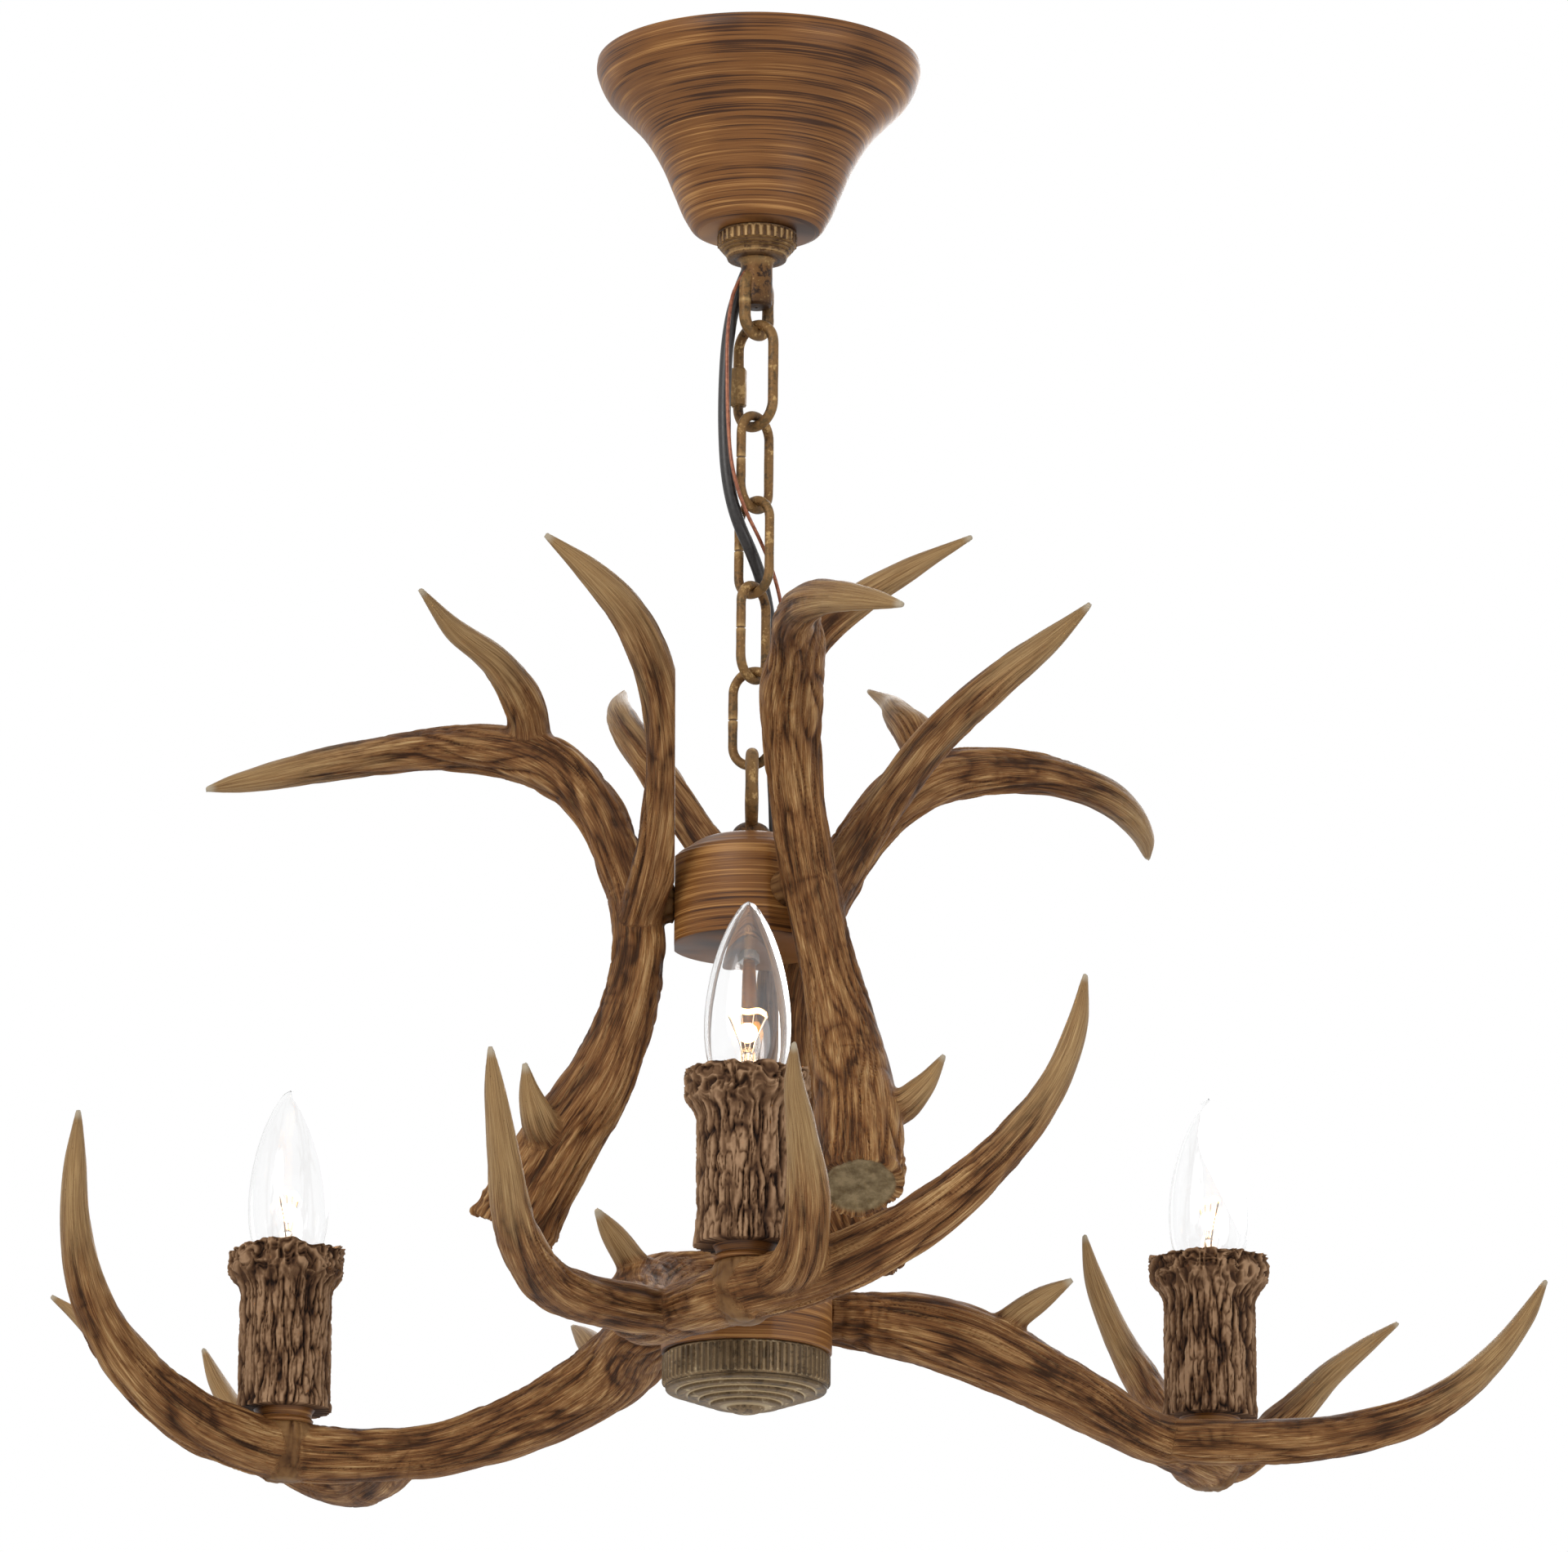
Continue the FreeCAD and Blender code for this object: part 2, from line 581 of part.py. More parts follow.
def screw_hole(seat, azimuth):
    ends = [Vector(seat.x + reach, 0, seat.z) for reach in (-2 * HUB_WALL, HUB_WALL)]
    return turned_to(spoke(SCREW_RADIUS + THREAD_CLEARANCE, *ends), azimuth)


def upper_hub():
    """Turned cup, open above, with a flat and a screw hole for each upper antler."""
    r = UPPER_HUB_RADIUS
    cup = turned([
        (TUBE_HOLE, UPPER_HUB_BOTTOM), (r - 2.0, UPPER_HUB_BOTTOM),
        (r, UPPER_HUB_BOTTOM + 2.0), (r, UPPER_HUB_TOP), (r - SEAT_DEPTH - HUB_WALL, UPPER_HUB_TOP),
        (r - SEAT_DEPTH - HUB_WALL, UPPER_HUB_BOTTOM + HUB_WALL),
        (TUBE_HOLE, UPPER_HUB_BOTTOM + HUB_WALL),
    ])
    for arm in range(ARM_COUNT):
        azimuth = azimuth_of(arm, UPPER_FIRST_AZIMUTH)
        cup = cup.cut(seat_flat(r, UPPER_SEAT, azimuth, UPPER_HUB_HEIGHT))
        cup = cup.cut(screw_hole(UPPER_SEAT, azimuth))
    return cup


def lower_hub():
    """Turned cup, open below, with a flat and a screw hole for each lower antler."""
    r = LOWER_HUB_RADIUS
    cup = turned([
        (TUBE_HOLE, LOWER_HUB_TOP), (r - 4.0, LOWER_HUB_TOP), (r, LOWER_HUB_TOP - 4.0),
        (r, LOWER_HUB_BOTTOM), (r - SEAT_DEPTH - HUB_WALL, LOWER_HUB_BOTTOM),
        (r - SEAT_DEPTH - HUB_WALL, LOWER_HUB_TOP - HUB_WALL),
        (TUBE_HOLE, LOWER_HUB_TOP - HUB_WALL),
    ])
    for arm in range(ARM_COUNT):
        azimuth = azimuth_of(arm, LOWER_FIRST_AZIMUTH)
        cup = cup.cut(seat_flat(r, LOWER_SEAT, azimuth, LOWER_HUB_HEIGHT))
        cup = cup.cut(screw_hole(LOWER_SEAT, azimuth))
    return cup


def centre_tube():
    top = DOME_BOTTOM - RING_STEM_LENGTH
    tube = round_bar(TUBE_RADIUS, BAND_BOTTOM + 1.0, top)
    return tube.cut(bar(TUBE_BORE, BAND_BOTTOM, top + 1))


def tube_nuts():
    """Coupling nut at the tube's top, and the lock nuts that clamp each hub's plate."""
    bore = TUBE_HOLE
    joint = DOME_BOTTOM - RING_STEM_LENGTH
    return Part.makeCompound([
        hex_nut(joint - COUPLING_LENGTH / 2, COUPLING_LENGTH, bore),
        hex_nut(UPPER_HUB_BOTTOM + HUB_WALL, NUT_THICKNESS, bore),
        hex_nut(UPPER_HUB_BOTTOM - NUT_THICKNESS, NUT_THICKNESS, bore),
        hex_nut(LOWER_HUB_TOP, NUT_THICKNESS, bore),
        hex_nut(LOWER_HUB_TOP - HUB_WALL - NUT_THICKNESS, NUT_THICKNESS, bore),
    ])


def finial_band():
    """Ribbed band below the lower hub, bored to run on the tube."""
    band = knurled(FINIAL_RADIUS, BAND_BOTTOM + 1.2, FINIAL_BAND_HEIGHT - 2.4, FINIAL_TEETH)
    core = bar(FINIAL_RADIUS - KNURL_DEPTH - 0.4, BAND_BOTTOM, LOWER_HUB_BOTTOM, sides=ROUND_SIDES)
    hollow = bar(FINIAL_RADIUS - 6.0, BAND_BOTTOM + 4.0, LOWER_HUB_BOTTOM + 1, sides=ROUND_SIDES)
    hub = bar(TUBE_RADIUS + 4.0, BAND_BOTTOM, LOWER_HUB_BOTTOM - 3.0)
    bore = round_bar(TUBE_RADIUS + FINIAL_CLEARANCE, BAND_BOTTOM - 1, LOWER_HUB_BOTTOM + 1)
    return band.fuse(core).cut(hollow).fuse(hub).cut(bore)


def finial_cap():
    """Cap of concentric steps that closes the fixture below, with a small turned button."""
    outline = [(0, BAND_BOTTOM), (FINIAL_RADIUS - 1.5, BAND_BOTTOM)]
    for step in range(FINIAL_STEPS):
        radius = FINIAL_RADIUS - 1.5 - step * 4.6
        level = BAND_BOTTOM - step * FINIAL_STEP_HEIGHT
        outline += [(radius - 0.5, level - FINIAL_STEP_HEIGHT), (radius - 4.6, level - FINIAL_STEP_HEIGHT)]
    outline += [(FINIAL_BUTTON_RADIUS, FINIAL_BOTTOM), (0.7 * FINIAL_BUTTON_RADIUS, FINIAL_BOTTOM - 2.2),
                (0, FINIAL_BOTTOM - 3.0)]
    return turned(outline)


# ---------------------------------------------------------------- antlers
def stem_loft(points, seat, sides, square_start=False):
    """Many-sided stem that swells and tapers along the points; a small end section makes the tip."""
    places = [Vector(*p[:3]) + seat for p in points]
    tangents = []
    for k in range(len(places)):
        before, after = places[max(k - 1, 0)], places[min(k + 1, len(places) - 1)]
        tangents.append((after - before).normalize())
    if square_start:
        tangents[0] = Vector(1, 0, 0)
    side = tangents[0].cross(Z if abs(tangents[0].z) < 0.9 else Vector(1, 0, 0)).normalize()
    rings = []
    for place, tangent, point in zip(places, tangents, points):
        side = (side - tangent * side.dot(tangent)).normalize()
        other = tangent.cross(side)
        ring = []
        for k in range(sides):
            angle = 2 * math.pi * k / sides
            reach = point[3] * (1 + 0.05 * math.cos(2 * angle) + 0.03 * math.cos(3 * angle + 1.0))
            ring.append(place + side * (reach * math.cos(angle)) + other * (reach * math.sin(angle)))
        rings.append(ring)
    return skinned(rings, False)


def screw_pilot(seat):
    return spoke(SCREW_RADIUS + THREAD_CLEARANCE, seat - Vector(1, 0, 0), seat + Vector(SCREW_REACH, 0, 0))


def upper_antler():
    """Antler that hangs by its beam: the cut base points down and out, the crown spreads above."""
    stems = [stem_loft(UPPER_ANTLER[name], UPPER_SEAT, BEAM_SIDES if name == "beam" else TINE_SIDES)
             for name in UPPER_ANTLER]
    pad = spoke(UPPER_PAD_RADIUS, UPPER_SEAT, UPPER_SEAT + Vector(UPPER_PAD_REACH, 0, 0))
    return stems[0].multiFuse(stems[1:] + [pad]).cut(screw_pilot(UPPER_SEAT))


def lamp_boss():
    """Boss in the beam, flat above for the lamp's seat and rounded below."""
    r, h = LAMP_BOSS_RADIUS, LAMP_BOSS_HEIGHT
    outline = [(0, LAMP_SEAT), (r, LAMP_SEAT), (r, LAMP_SEAT - 0.55 * h), (0.85 * r, LAMP_SEAT - 0.8 * h),
               (0.5 * r, LAMP_SEAT - h), (0, LAMP_SEAT - h)]
    boss = turned(outline, SMALL_SIDES)
    boss.translate(Vector(LAMP_AXIS, 0, 0))
    return boss


def lower_antler():
    """Antler that carries a lamp: its base butts on the hub and its tines rise round the lamp."""
    stems = [stem_loft(LOWER_ANTLER[name], LOWER_SEAT, BEAM_SIDES if name == "beam" else TINE_SIDES,
                       name == "beam") for name in LOWER_ANTLER]
    body = stems[0].multiFuse(stems[1:] + [lamp_boss()])
    spot_face = bar(LAMP_BOSS_RADIUS, LAMP_SEAT, LAMP_SEAT + LAMP_BOSS_HEIGHT, LAMP_AXIS)
    passage = bar(POST_RADIUS + THREAD_CLEARANCE, LAMP_SEAT - 2 * LAMP_BOSS_HEIGHT, LAMP_SEAT + 1, LAMP_AXIS)
    return body.cut(spot_face).cut(passage).cut(screw_pilot(LOWER_SEAT))


def antler_screws(seat, hub_radius, first):
    """Pan-head screws from inside a hub into the antlers."""
    inner = (hub_radius - SEAT_DEPTH - HUB_WALL) * math.cos(math.pi / ROUND_SIDES) - CONTACT_GAP
    under_head = math.sqrt(inner ** 2 - SCREW_HEAD_RADIUS ** 2)
    stations = [Vector(x, 0, seat.z) for x in (under_head - SCREW_HEAD_HEIGHT, under_head, seat.x + SCREW_REACH)]
    head = spoke(SCREW_HEAD_RADIUS, stations[0], stations[1])
    shank = spoke(SCREW_RADIUS, stations[1] - Vector(0.5, 0, 0), stations[2])
    screw = head.fuse(shank)
    return Part.makeCompound([turned_to(screw, azimuth_of(arm, first)) for arm in range(ARM_COUNT)])


# ---------------------------------------------------------------- lamps
def lamp_post():
    """Hollow threaded post through the beam, with the turned seat plate and a nut below."""
    bottom = LAMP_SEAT - LAMP_BOSS_HEIGHT + 1.0
    post = bar(POST_RADIUS, bottom, HOLDER_BOTTOM)
    plate = turned([(0, LAMP_SEAT), (SEAT_PLATE_RADIUS - 1.5, LAMP_SEAT),
                    (SEAT_PLATE_RADIUS - 0.5, LAMP_SEAT + 2.5),
                    (SEAT_PLATE_RADIUS + 0.5, SLEEVE_BOTTOM), (0, SLEEVE_BOTTOM)], SMALL_SIDES)
    return post.fuse(plate).cut(bar(POST_BORE, bottom - 1, HOLDER_BOTTOM + 1))


def candle_sleeve():
    """Bark-like sleeve: many-sided, uneven and flared at its crown and foot."""
    crown = SLEEVE_CROWN_RADIUS / SLEEVE_RADIUS
    levels = [(0.0, 1.04), (0.1, 0.99), (0.5, 0.97), (0.8, 1.02)]
    levels += [(1.0 - 0.5 * SLEEVE_CROWN_HEIGHT / SLEEVE_HEIGHT, crown), (1.0, 0.97 * crown)]
    rings = []
    for share, swell in levels:
        ring = []
        for k in range(SLEEVE_SIDES):
            angle = 2 * math.pi * k / SLEEVE_SIDES
            reach = SLEEVE_RADIUS * swell * (1 + 0.03 * math.sin(3 * angle) + 0.02 * math.cos(5 * angle))
            ring.append(Vector(reach * math.cos(angle), reach * math.sin(angle),
                               SLEEVE_BOTTOM + share * SLEEVE_HEIGHT))
        rings.append(ring)
    body = skinned(rings, False)
    bore = bar(SLEEVE_BORE, SLEEVE_BOTTOM + SLEEVE_FLOOR, SLEEVE_BOTTOM + SLEEVE_HEIGHT + 1, sides=SLEEVE_SIDES)
    passage = bar(POST_RADIUS + THREAD_CLEARANCE, SLEEVE_BOTTOM - 1, SLEEVE_BOTTOM + SLEEVE_FLOOR + 1)
    return body.cut(bore).cut(passage)


def lampholder():
    top = HOLDER_BOTTOM + HOLDER_HEIGHT
    bore = BASE_RADIUS + BASE_CLEARANCE
    return turned([
        (0, HOLDER_BOTTOM), (HOLDER_RADIUS, HOLDER_BOTTOM), (HOLDER_RADIUS, top - 2.0),
        (HOLDER_RADIUS - 1.5, top), (bore + 1.0, top), (bore, top - 1.0),
        (bore, HOLDER_BOTTOM + HOLDER_FLOOR), (0, HOLDER_BOTTOM + HOLDER_FLOOR),
    ], SMALL_SIDES)


def bulb_base():
    """Screw shell with its insulator and centre contact."""
    low = BASE_BOTTOM
    return turned([
        (0, low - TIP_LENGTH), (0.7 * TIP_RADIUS, low - TIP_LENGTH), (TIP_RADIUS, low - 0.6 * TIP_LENGTH),
        (0.8 * BASE_RADIUS, low), (BASE_RADIUS, low + 2.0), (BASE_RADIUS, GLASS_BOTTOM),
        (BASE_RADIUS - SHELL_WALL, GLASS_BOTTOM), (BASE_RADIUS - SHELL_WALL, low + INSULATOR_HEIGHT),
        (0, low + INSULATOR_HEIGHT),
    ], SMALL_SIDES)


def flame_outline(inset):
    """Half outline of the flame-shaped envelope from its neck to its tip."""
    neck, wide = GLASS_NECK_RADIUS, BULB_RADIUS
    curve = [(neck, 0), (0.88 * wide, 0.18), (wide, 0.38), (0.92 * wide, 0.57), (0.72 * wide, 0.76),
             (0.34 * wide, 0.94)]
    outline = [(r - inset, GLASS_BOTTOM + share * (BULB_LENGTH - inset)) for r, share in curve]
    return outline + [(0, GLASS_BOTTOM + BULB_LENGTH - inset)]


def bulb_glass():
    return turned(flame_outline(0.0) + flame_outline(GLASS_WALL)[::-1], SMALL_SIDES)


def bulb_stem():
    """Glass stem with two leads that open in a V and the filament between their ends."""
    top = GLASS_BOTTOM + STEM_GLASS_LENGTH
    neck = GLASS_NECK_RADIUS - GLASS_WALL
    low = BASE_BOTTOM + INSULATOR_HEIGHT
    in_shell = BASE_RADIUS - SHELL_WALL - STEM_CLEARANCE_IN_SHELL
    in_neck = neck - CONTACT_GAP
    stem = turned([(0, low), (in_shell, low), (in_shell, GLASS_BOTTOM - STEM_CLEARANCE_IN_SHELL),
                   (in_neck, GLASS_BOTTOM), (in_neck, GLASS_BOTTOM + STEM_FLARE / 3),
                   (STEM_GLASS_RADIUS, GLASS_BOTTOM + STEM_FLARE), (STEM_GLASS_RADIUS, top), (0, top)], WIRE_SIDES)
    tip = GLASS_BOTTOM + BULB_LENGTH - FILAMENT_DROP
    pieces = []
    for side in (-1, 1):
        foot = Vector(side * (STEM_GLASS_RADIUS - 2 * LEAD_RADIUS), 0, top - LEAD_FOOT)
        end = Vector(side * FILAMENT_SPAN / 2, 0, tip)
        pieces.append(spoke(LEAD_RADIUS, foot, end, LEAD_SIDES))
    ends = [Vector(side * (FILAMENT_SPAN / 2 + LEAD_RADIUS), 0, tip) for side in (-1, 1)]
    pieces.append(spoke(1.6 * LEAD_RADIUS, *ends, LEAD_SIDES))
    return stem.multiFuse(pieces)


def on_lamp(shape, arm):
    copy = shape.copy()
    copy.translate(Vector(LAMP_AXIS, 0, 0))
    return turned_to(copy, azimuth_of(arm, LOWER_FIRST_AZIMUTH))


# ---------------------------------------------------------------- supply cord
def round_route(label, route, diameter):
    """Tube of straight runs joined by tangent arcs as large as the runs allow."""
    places = below_canopy(route)
    edges, radii, start = [], [], places[0]
    for before, corner, after in zip(places, places[1:], places[2:]):
        come, go = corner - before, after - corner
        run = min(come.Length, go.Length)
        turn = come.getAngle(go)
        radii.append(ARC_SHARE * run / math.tan(turn / 2))
        back = ARC_SHARE * run
        first = corner - come.normalize() * back
        last = corner + go.normalize() * back
        bisector = ((first + last) * 0.5 - corner).normalize()
        deep = radii[-1] / math.cos(turn / 2) - radii[-1]
        edges.append(Part.LineSegment(start, first).toShape())
        edges.append(Part.Arc(first, corner + bisector * deep, last).toShape())
        start = last
    edges.append(Part.LineSegment(start, places[-1]).toShape())
    path = Part.Wire(edges)
    along = (places[1] - places[0]).normalize()
    side = along.cross(Vector(0, 1, 0)).normalize()
    other = along.cross(side)
    ring = [places[0] + side * (p.x * diameter / 2) + other * (p.y * diameter / 2) for p in around(1, 0, CORD_SIDES)]
    section = Part.makePolygon(ring + ring[:1])
    tube = path.makePipeShell([section], True, False)
    share = tube.Volume / (Part.Face(section).Area * path.Length)
    print("%s: length %.0f mm, volume over section times length %.3f, least radius %.1f mm, radii %s"
          % (label, path.Length, share, min(radii), " ".join("%.0f" % r for r in radii)))
    return tube


save("ceiling_bracket", ceiling_bracket())
save("nipple_locknut", nipple_locknut())
save("threaded_nipple", threaded_nipple())
save("canopy", canopy())
save("canopy_collar", canopy_collar())
save("canopy_loop", canopy_loop())
save("quick_link", quick_link())
save("quick_link_sleeve", quick_link_sleeve())
for number in range(LINK_COUNT):
    save("chain_link_%d" % (number + 1), chain_link(number))
save("hub_ring", hub_ring())
save("upper_hub_cover", upper_hub_cover())
save("upper_hub", upper_hub())
save("centre_tube", centre_tube())
save("tube_nuts", tube_nuts())
save("lower_hub", lower_hub())
save("finial_band", finial_band())
save("finial_cap", finial_cap())
save("upper_antler_screws", antler_screws(UPPER_SEAT, UPPER_HUB_RADIUS, UPPER_FIRST_AZIMUTH))
save("lower_antler_screws", antler_screws(LOWER_SEAT, LOWER_HUB_RADIUS, LOWER_FIRST_AZIMUTH))
upper_shape, lower_shape = upper_antler(), lower_antler()
lamp_shapes = {
    "lamp_post": lamp_post(),
    "candle_sleeve": candle_sleeve(),
    "lampholder": lampholder(),
    "bulb_base": bulb_base(),
    "bulb_glass": bulb_glass(),
    "bulb_stem": bulb_stem(),
}
for arm in range(ARM_COUNT):
    save("upper_antler_" + ARMS[arm], turned_to(upper_shape, azimuth_of(arm, UPPER_FIRST_AZIMUTH)))
    save("lower_antler_" + ARMS[arm], turned_to(lower_shape, azimuth_of(arm, LOWER_FIRST_AZIMUTH)))
    for name, shape in lamp_shapes.items():
        save(name + "_" + ARMS[arm], on_lamp(shape, arm))
save("supply_cord", round_route("supply cord", CORD_ROUTE, CORD_DIAMETER))
save("ground_wire", round_route("ground wire", WIRE_ROUTE, WIRE_DIAMETER))
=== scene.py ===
"""Looks of the antler chandelier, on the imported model's frame: metres, +Z up, origin in the ceiling plane."""

import bpy
import numpy as np
from math import cos, pi, radians, sin
from mathutils import Matrix, Vector


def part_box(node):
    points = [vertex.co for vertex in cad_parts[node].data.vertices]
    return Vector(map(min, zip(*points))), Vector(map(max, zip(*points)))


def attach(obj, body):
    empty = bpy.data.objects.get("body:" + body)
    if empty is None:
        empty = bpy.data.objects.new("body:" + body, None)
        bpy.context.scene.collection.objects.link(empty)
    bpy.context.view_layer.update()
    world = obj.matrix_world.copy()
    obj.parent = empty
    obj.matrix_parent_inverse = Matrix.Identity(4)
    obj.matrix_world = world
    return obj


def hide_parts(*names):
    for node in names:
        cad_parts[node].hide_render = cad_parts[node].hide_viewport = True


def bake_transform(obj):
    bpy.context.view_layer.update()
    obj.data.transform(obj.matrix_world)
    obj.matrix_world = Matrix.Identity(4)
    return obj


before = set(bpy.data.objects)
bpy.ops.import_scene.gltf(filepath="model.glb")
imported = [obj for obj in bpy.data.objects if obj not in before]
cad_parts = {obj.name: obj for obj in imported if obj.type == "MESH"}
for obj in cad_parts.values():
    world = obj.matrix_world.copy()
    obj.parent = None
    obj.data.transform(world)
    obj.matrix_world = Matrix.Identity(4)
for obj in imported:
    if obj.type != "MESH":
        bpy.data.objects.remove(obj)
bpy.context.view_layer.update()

MM = 0.001
ARMS = "abc"
UPPER_FIRST_AZIMUTH = 180.0
LOWER_FIRST_AZIMUTH = 150.0
FINE = 1.0

# ---- forms, in millimetres ----
UPPER_SEAT = (31.5, 0.0, -366.4)
LOWER_SEAT = (33.5, 0.0, -536.9)
LAMP_AXIS = 224.3
LAMP_SEAT = -565.4
SLEEVE_LOW, SLEEVE_TOP = -558.9, -488.9
HOLDER_LOW, HOLDER_TOP = -555.9, -505.9
BASE_LOW, GLASS_LOW = -525.1, -503.1
SLEEVE_BORE = 4.9
FILAMENT_LEVEL, FILAMENT_HEADING = -467.1, 90.0
LIGHT_LEVEL, LIGHT_ENERGY = -474.0, 0.12
HUB_RADII = {"upper_hub": 33.0, "lower_hub": 35.0}
HUB_BORE, HUB_WALL = 4.9, 3.0
TUBE_RADIUS = 4.75
# Points (outward, sideways, up, radius) of each stem, from the middle of the antler's seat on its hub.
UPPER_ANTLER = {
    "beam": [
        (66, -4, -138, 17.5), (48, 5, -106, 16.8), (29, 12, -76, 14.4), (17, 11, -42, 12.2),
        (15, 4, -12, 11.4), (22, -7, 17, 11), (33, -18, 44, 11), (52, -30, 66, 12.5), (79, -43, 77, 11),
        (112, -62, 81, 9), (153, -73, 77, 7.4), (184, -70, 69, 4.6), (199, -64, 64, 1.2),
    ],
    "tall_tine": [
        (17, 5, -16, 8), (8, 22, 11, 9.5), (3, 46, 44, 8.6), (7, 70, 76, 8.2), (18, 90, 98, 7.6),
        (36, 105, 114, 5), (53, 113, 126, 1.2),
    ],
    "crown_tine": [
        (60, -35, 70, 8), (65, -24, 92, 8.6), (75, -10, 105, 6.8), (93, 4, 116, 4.6), (107, 23, 128, 1.2),
    ],
    "brow_tine": [(44, 6, -98, 9.5), (52, 19, -101, 8), (57, 30, -91, 5.4), (60, 39, -77, 1.2)],
    "pad": [(0, 0, 0, 9), (9, 0, 0, 9), (19, 0, 0, 9)],
}
LOWER_ANTLER = {
    "beam": [
        (0, 0, 0, 10.4), (17, -9, -1, 13), (42, -32, -8, 16), (88, -42, -25, 14.2), (134, -33, -38, 11.5),
        (166, -19, -40, 12), (191, 0, -39, 13), (207, 33, -33, 12.5), (219, 68, -16, 11), (223, 98, 9, 8.6),
        (218, 120, 41, 6), (213, 128, 64, 4.2), (210, 131, 83, 1.2),
    ],
    "outer_tine": [
        (148, -27, -40, 9.5), (176, -53, -42, 10), (206, -76, -40, 9.6), (238, -87, -29, 8.4),
        (270, -92, -5, 6.2), (287, -95, 16, 4), (296, -97, 32, 1.2),
    ],
    "middle_tine": [
        (191, 2, -39, 9), (216, 20, -34, 9.4), (242, 24, -15, 8.2), (266, 21, 9, 5.6), (284, 18, 24, 3.4),
        (298, 18, 34, 1.2),
    ],
    "brow_tine": [(56, -36, -16, 10), (65, -46, -2, 6.8), (76, -54, 8, 4.6), (86, -60, 15, 1.2)],
    "boss": [(190.8, 0, -28.5, 13), (190.8, 0, -41.7, 13), (190.8, 0, -47.7, 11), (190.8, 0, -52.5, 6.5)],
}
CANOPY_FOOT = -75.0
CORD_DIAMETER = 5.4
# Route points (x, y, height from the canopy's foot).
CORD_ROUTE = [
    (-3.4, 0.6, -15), (-9, -0.6, -29), (-12, -2.2, -47), (-13, -3.6, -67), (-13, -4.2, -88),
    (-11.6, -4.2, -109), (-7.6, -2.8, -126), (-1, 2, -139), (4, 10, -151), (7.2, 15.6, -168), (8, 16, -190),
    (8.2, 13.4, -213), (8.8, 10.6, -233), (9.8, 9.8, -249), (10, 9.8, -263.6),
]
WIRE_DIAMETER = 1.6
WIRE_ROUTE = [
    (-3, -2.8, -15), (-9.2, -4.8, -24.5), (-11.2, -7.8, -36), (-12.2, -9.2, -50), (-12, -10, -68),
    (-11.4, -11, -88), (-9.6, -12.2, -107), (-4.6, -10.2, -123), (3, -3, -136), (9.4, 5.6, -150),
    (13.2, 11.4, -168), (13.8, 12.6, -190), (13.2, 9.4, -213), (13.8, 6.2, -234), (14.6, 5.6, -250),
    (14.8, 5.8, -263.6),
]
CHAIN_BODIES = ("ceiling_plate", "quick_link", "link_1", "link_2", "link_3", "link_4", "fixture")
LOOP_HEADING, QUICK_LINK_HEADING, HUB_RING_HEADING = 50.0, -42.0, 90.0
LINK_HEADINGS = (50.0, -45.0, 55.0, -25.0)

# ---- camera ----
CAMERA_PLACE = (0.0133, -4.0, -1.3680)
CAMERA_PITCH = 14.8
CAMERA_ROLL = 0.5
CAMERA_LENS = 228.75
FLOOR_LEVEL = -1.75
FLOOR_REACH = 9000.0
SKY_LIGHT = 0.62


# ---- noise ----
PERMUTATION = np.random.default_rng(11).permutation(256)


def noise(*columns):
    """Smooth noise from -1 to 1, one feature per unit, at the points that the columns make up."""
    points = np.column_stack(columns)
    cell = np.floor(points).astype(int)
    part = points - cell
    part = part * part * (3 - 2 * part)
    total = np.zeros(len(points))
    for corner in range(8):
        step = np.array([corner & 1, corner >> 1 & 1, corner >> 2 & 1])
        i, j, k = ((cell + step) & 255).T
        value = PERMUTATION[(PERMUTATION[(PERMUTATION[i] + j) & 255] + k) & 255] / 127.5 - 1
        total += np.prod(np.where(step, part, 1 - part), axis=1) * value
    return total


def smoothstep(low, high, value):
    """Share from 0 at low to 1 at high, with soft ends."""
    share = np.clip((value - low) / (high - low), 0, 1)
    return share * share * (3 - 2 * share)


# ---- mesh builders ----
def linked(name, data):
    """New object in the scene."""
    thing = bpy.data.objects.new(name, data)
    bpy.context.scene.collection.objects.link(thing)
    return thing


def mesh_object(name, corners, faces, crease=35.0):
    """Object from corners in millimetres; edges sharper than the crease angle stay sharp."""
    mesh = bpy.data.meshes.new(name)
    mesh.from_pydata((np.asarray(corners) * MM).tolist(), [], [list(f) for f in faces])
    mesh.validate()
    mesh.shade_smooth()
    mesh.set_sharp_from_angle(angle=radians(crease))
    return linked(name, mesh)


def grid_faces(rows, columns, closed_rows):
    """Quads over rows of columns that close round the columns, and round the rows too if asked."""
    faces = []
    for r in range(rows if closed_rows else rows - 1):
        for c in range(columns):
            a, b = r * columns, (r + 1) % rows * columns
            d = (c + 1) % columns
            faces.append((a + c, a + d, b + d, b + c))
    return faces


def circle(angles):
    """Columns x and y of the unit circle at these angles."""
    return np.column_stack([np.cos(angles), np.sin(angles)])


def ring_of(reach, angles, height):
    """Corners round the vertical axis at one height."""
    return np.column_stack([circle(angles) * np.reshape(reach, (-1, 1)), np.full(len(angles), float(height))])


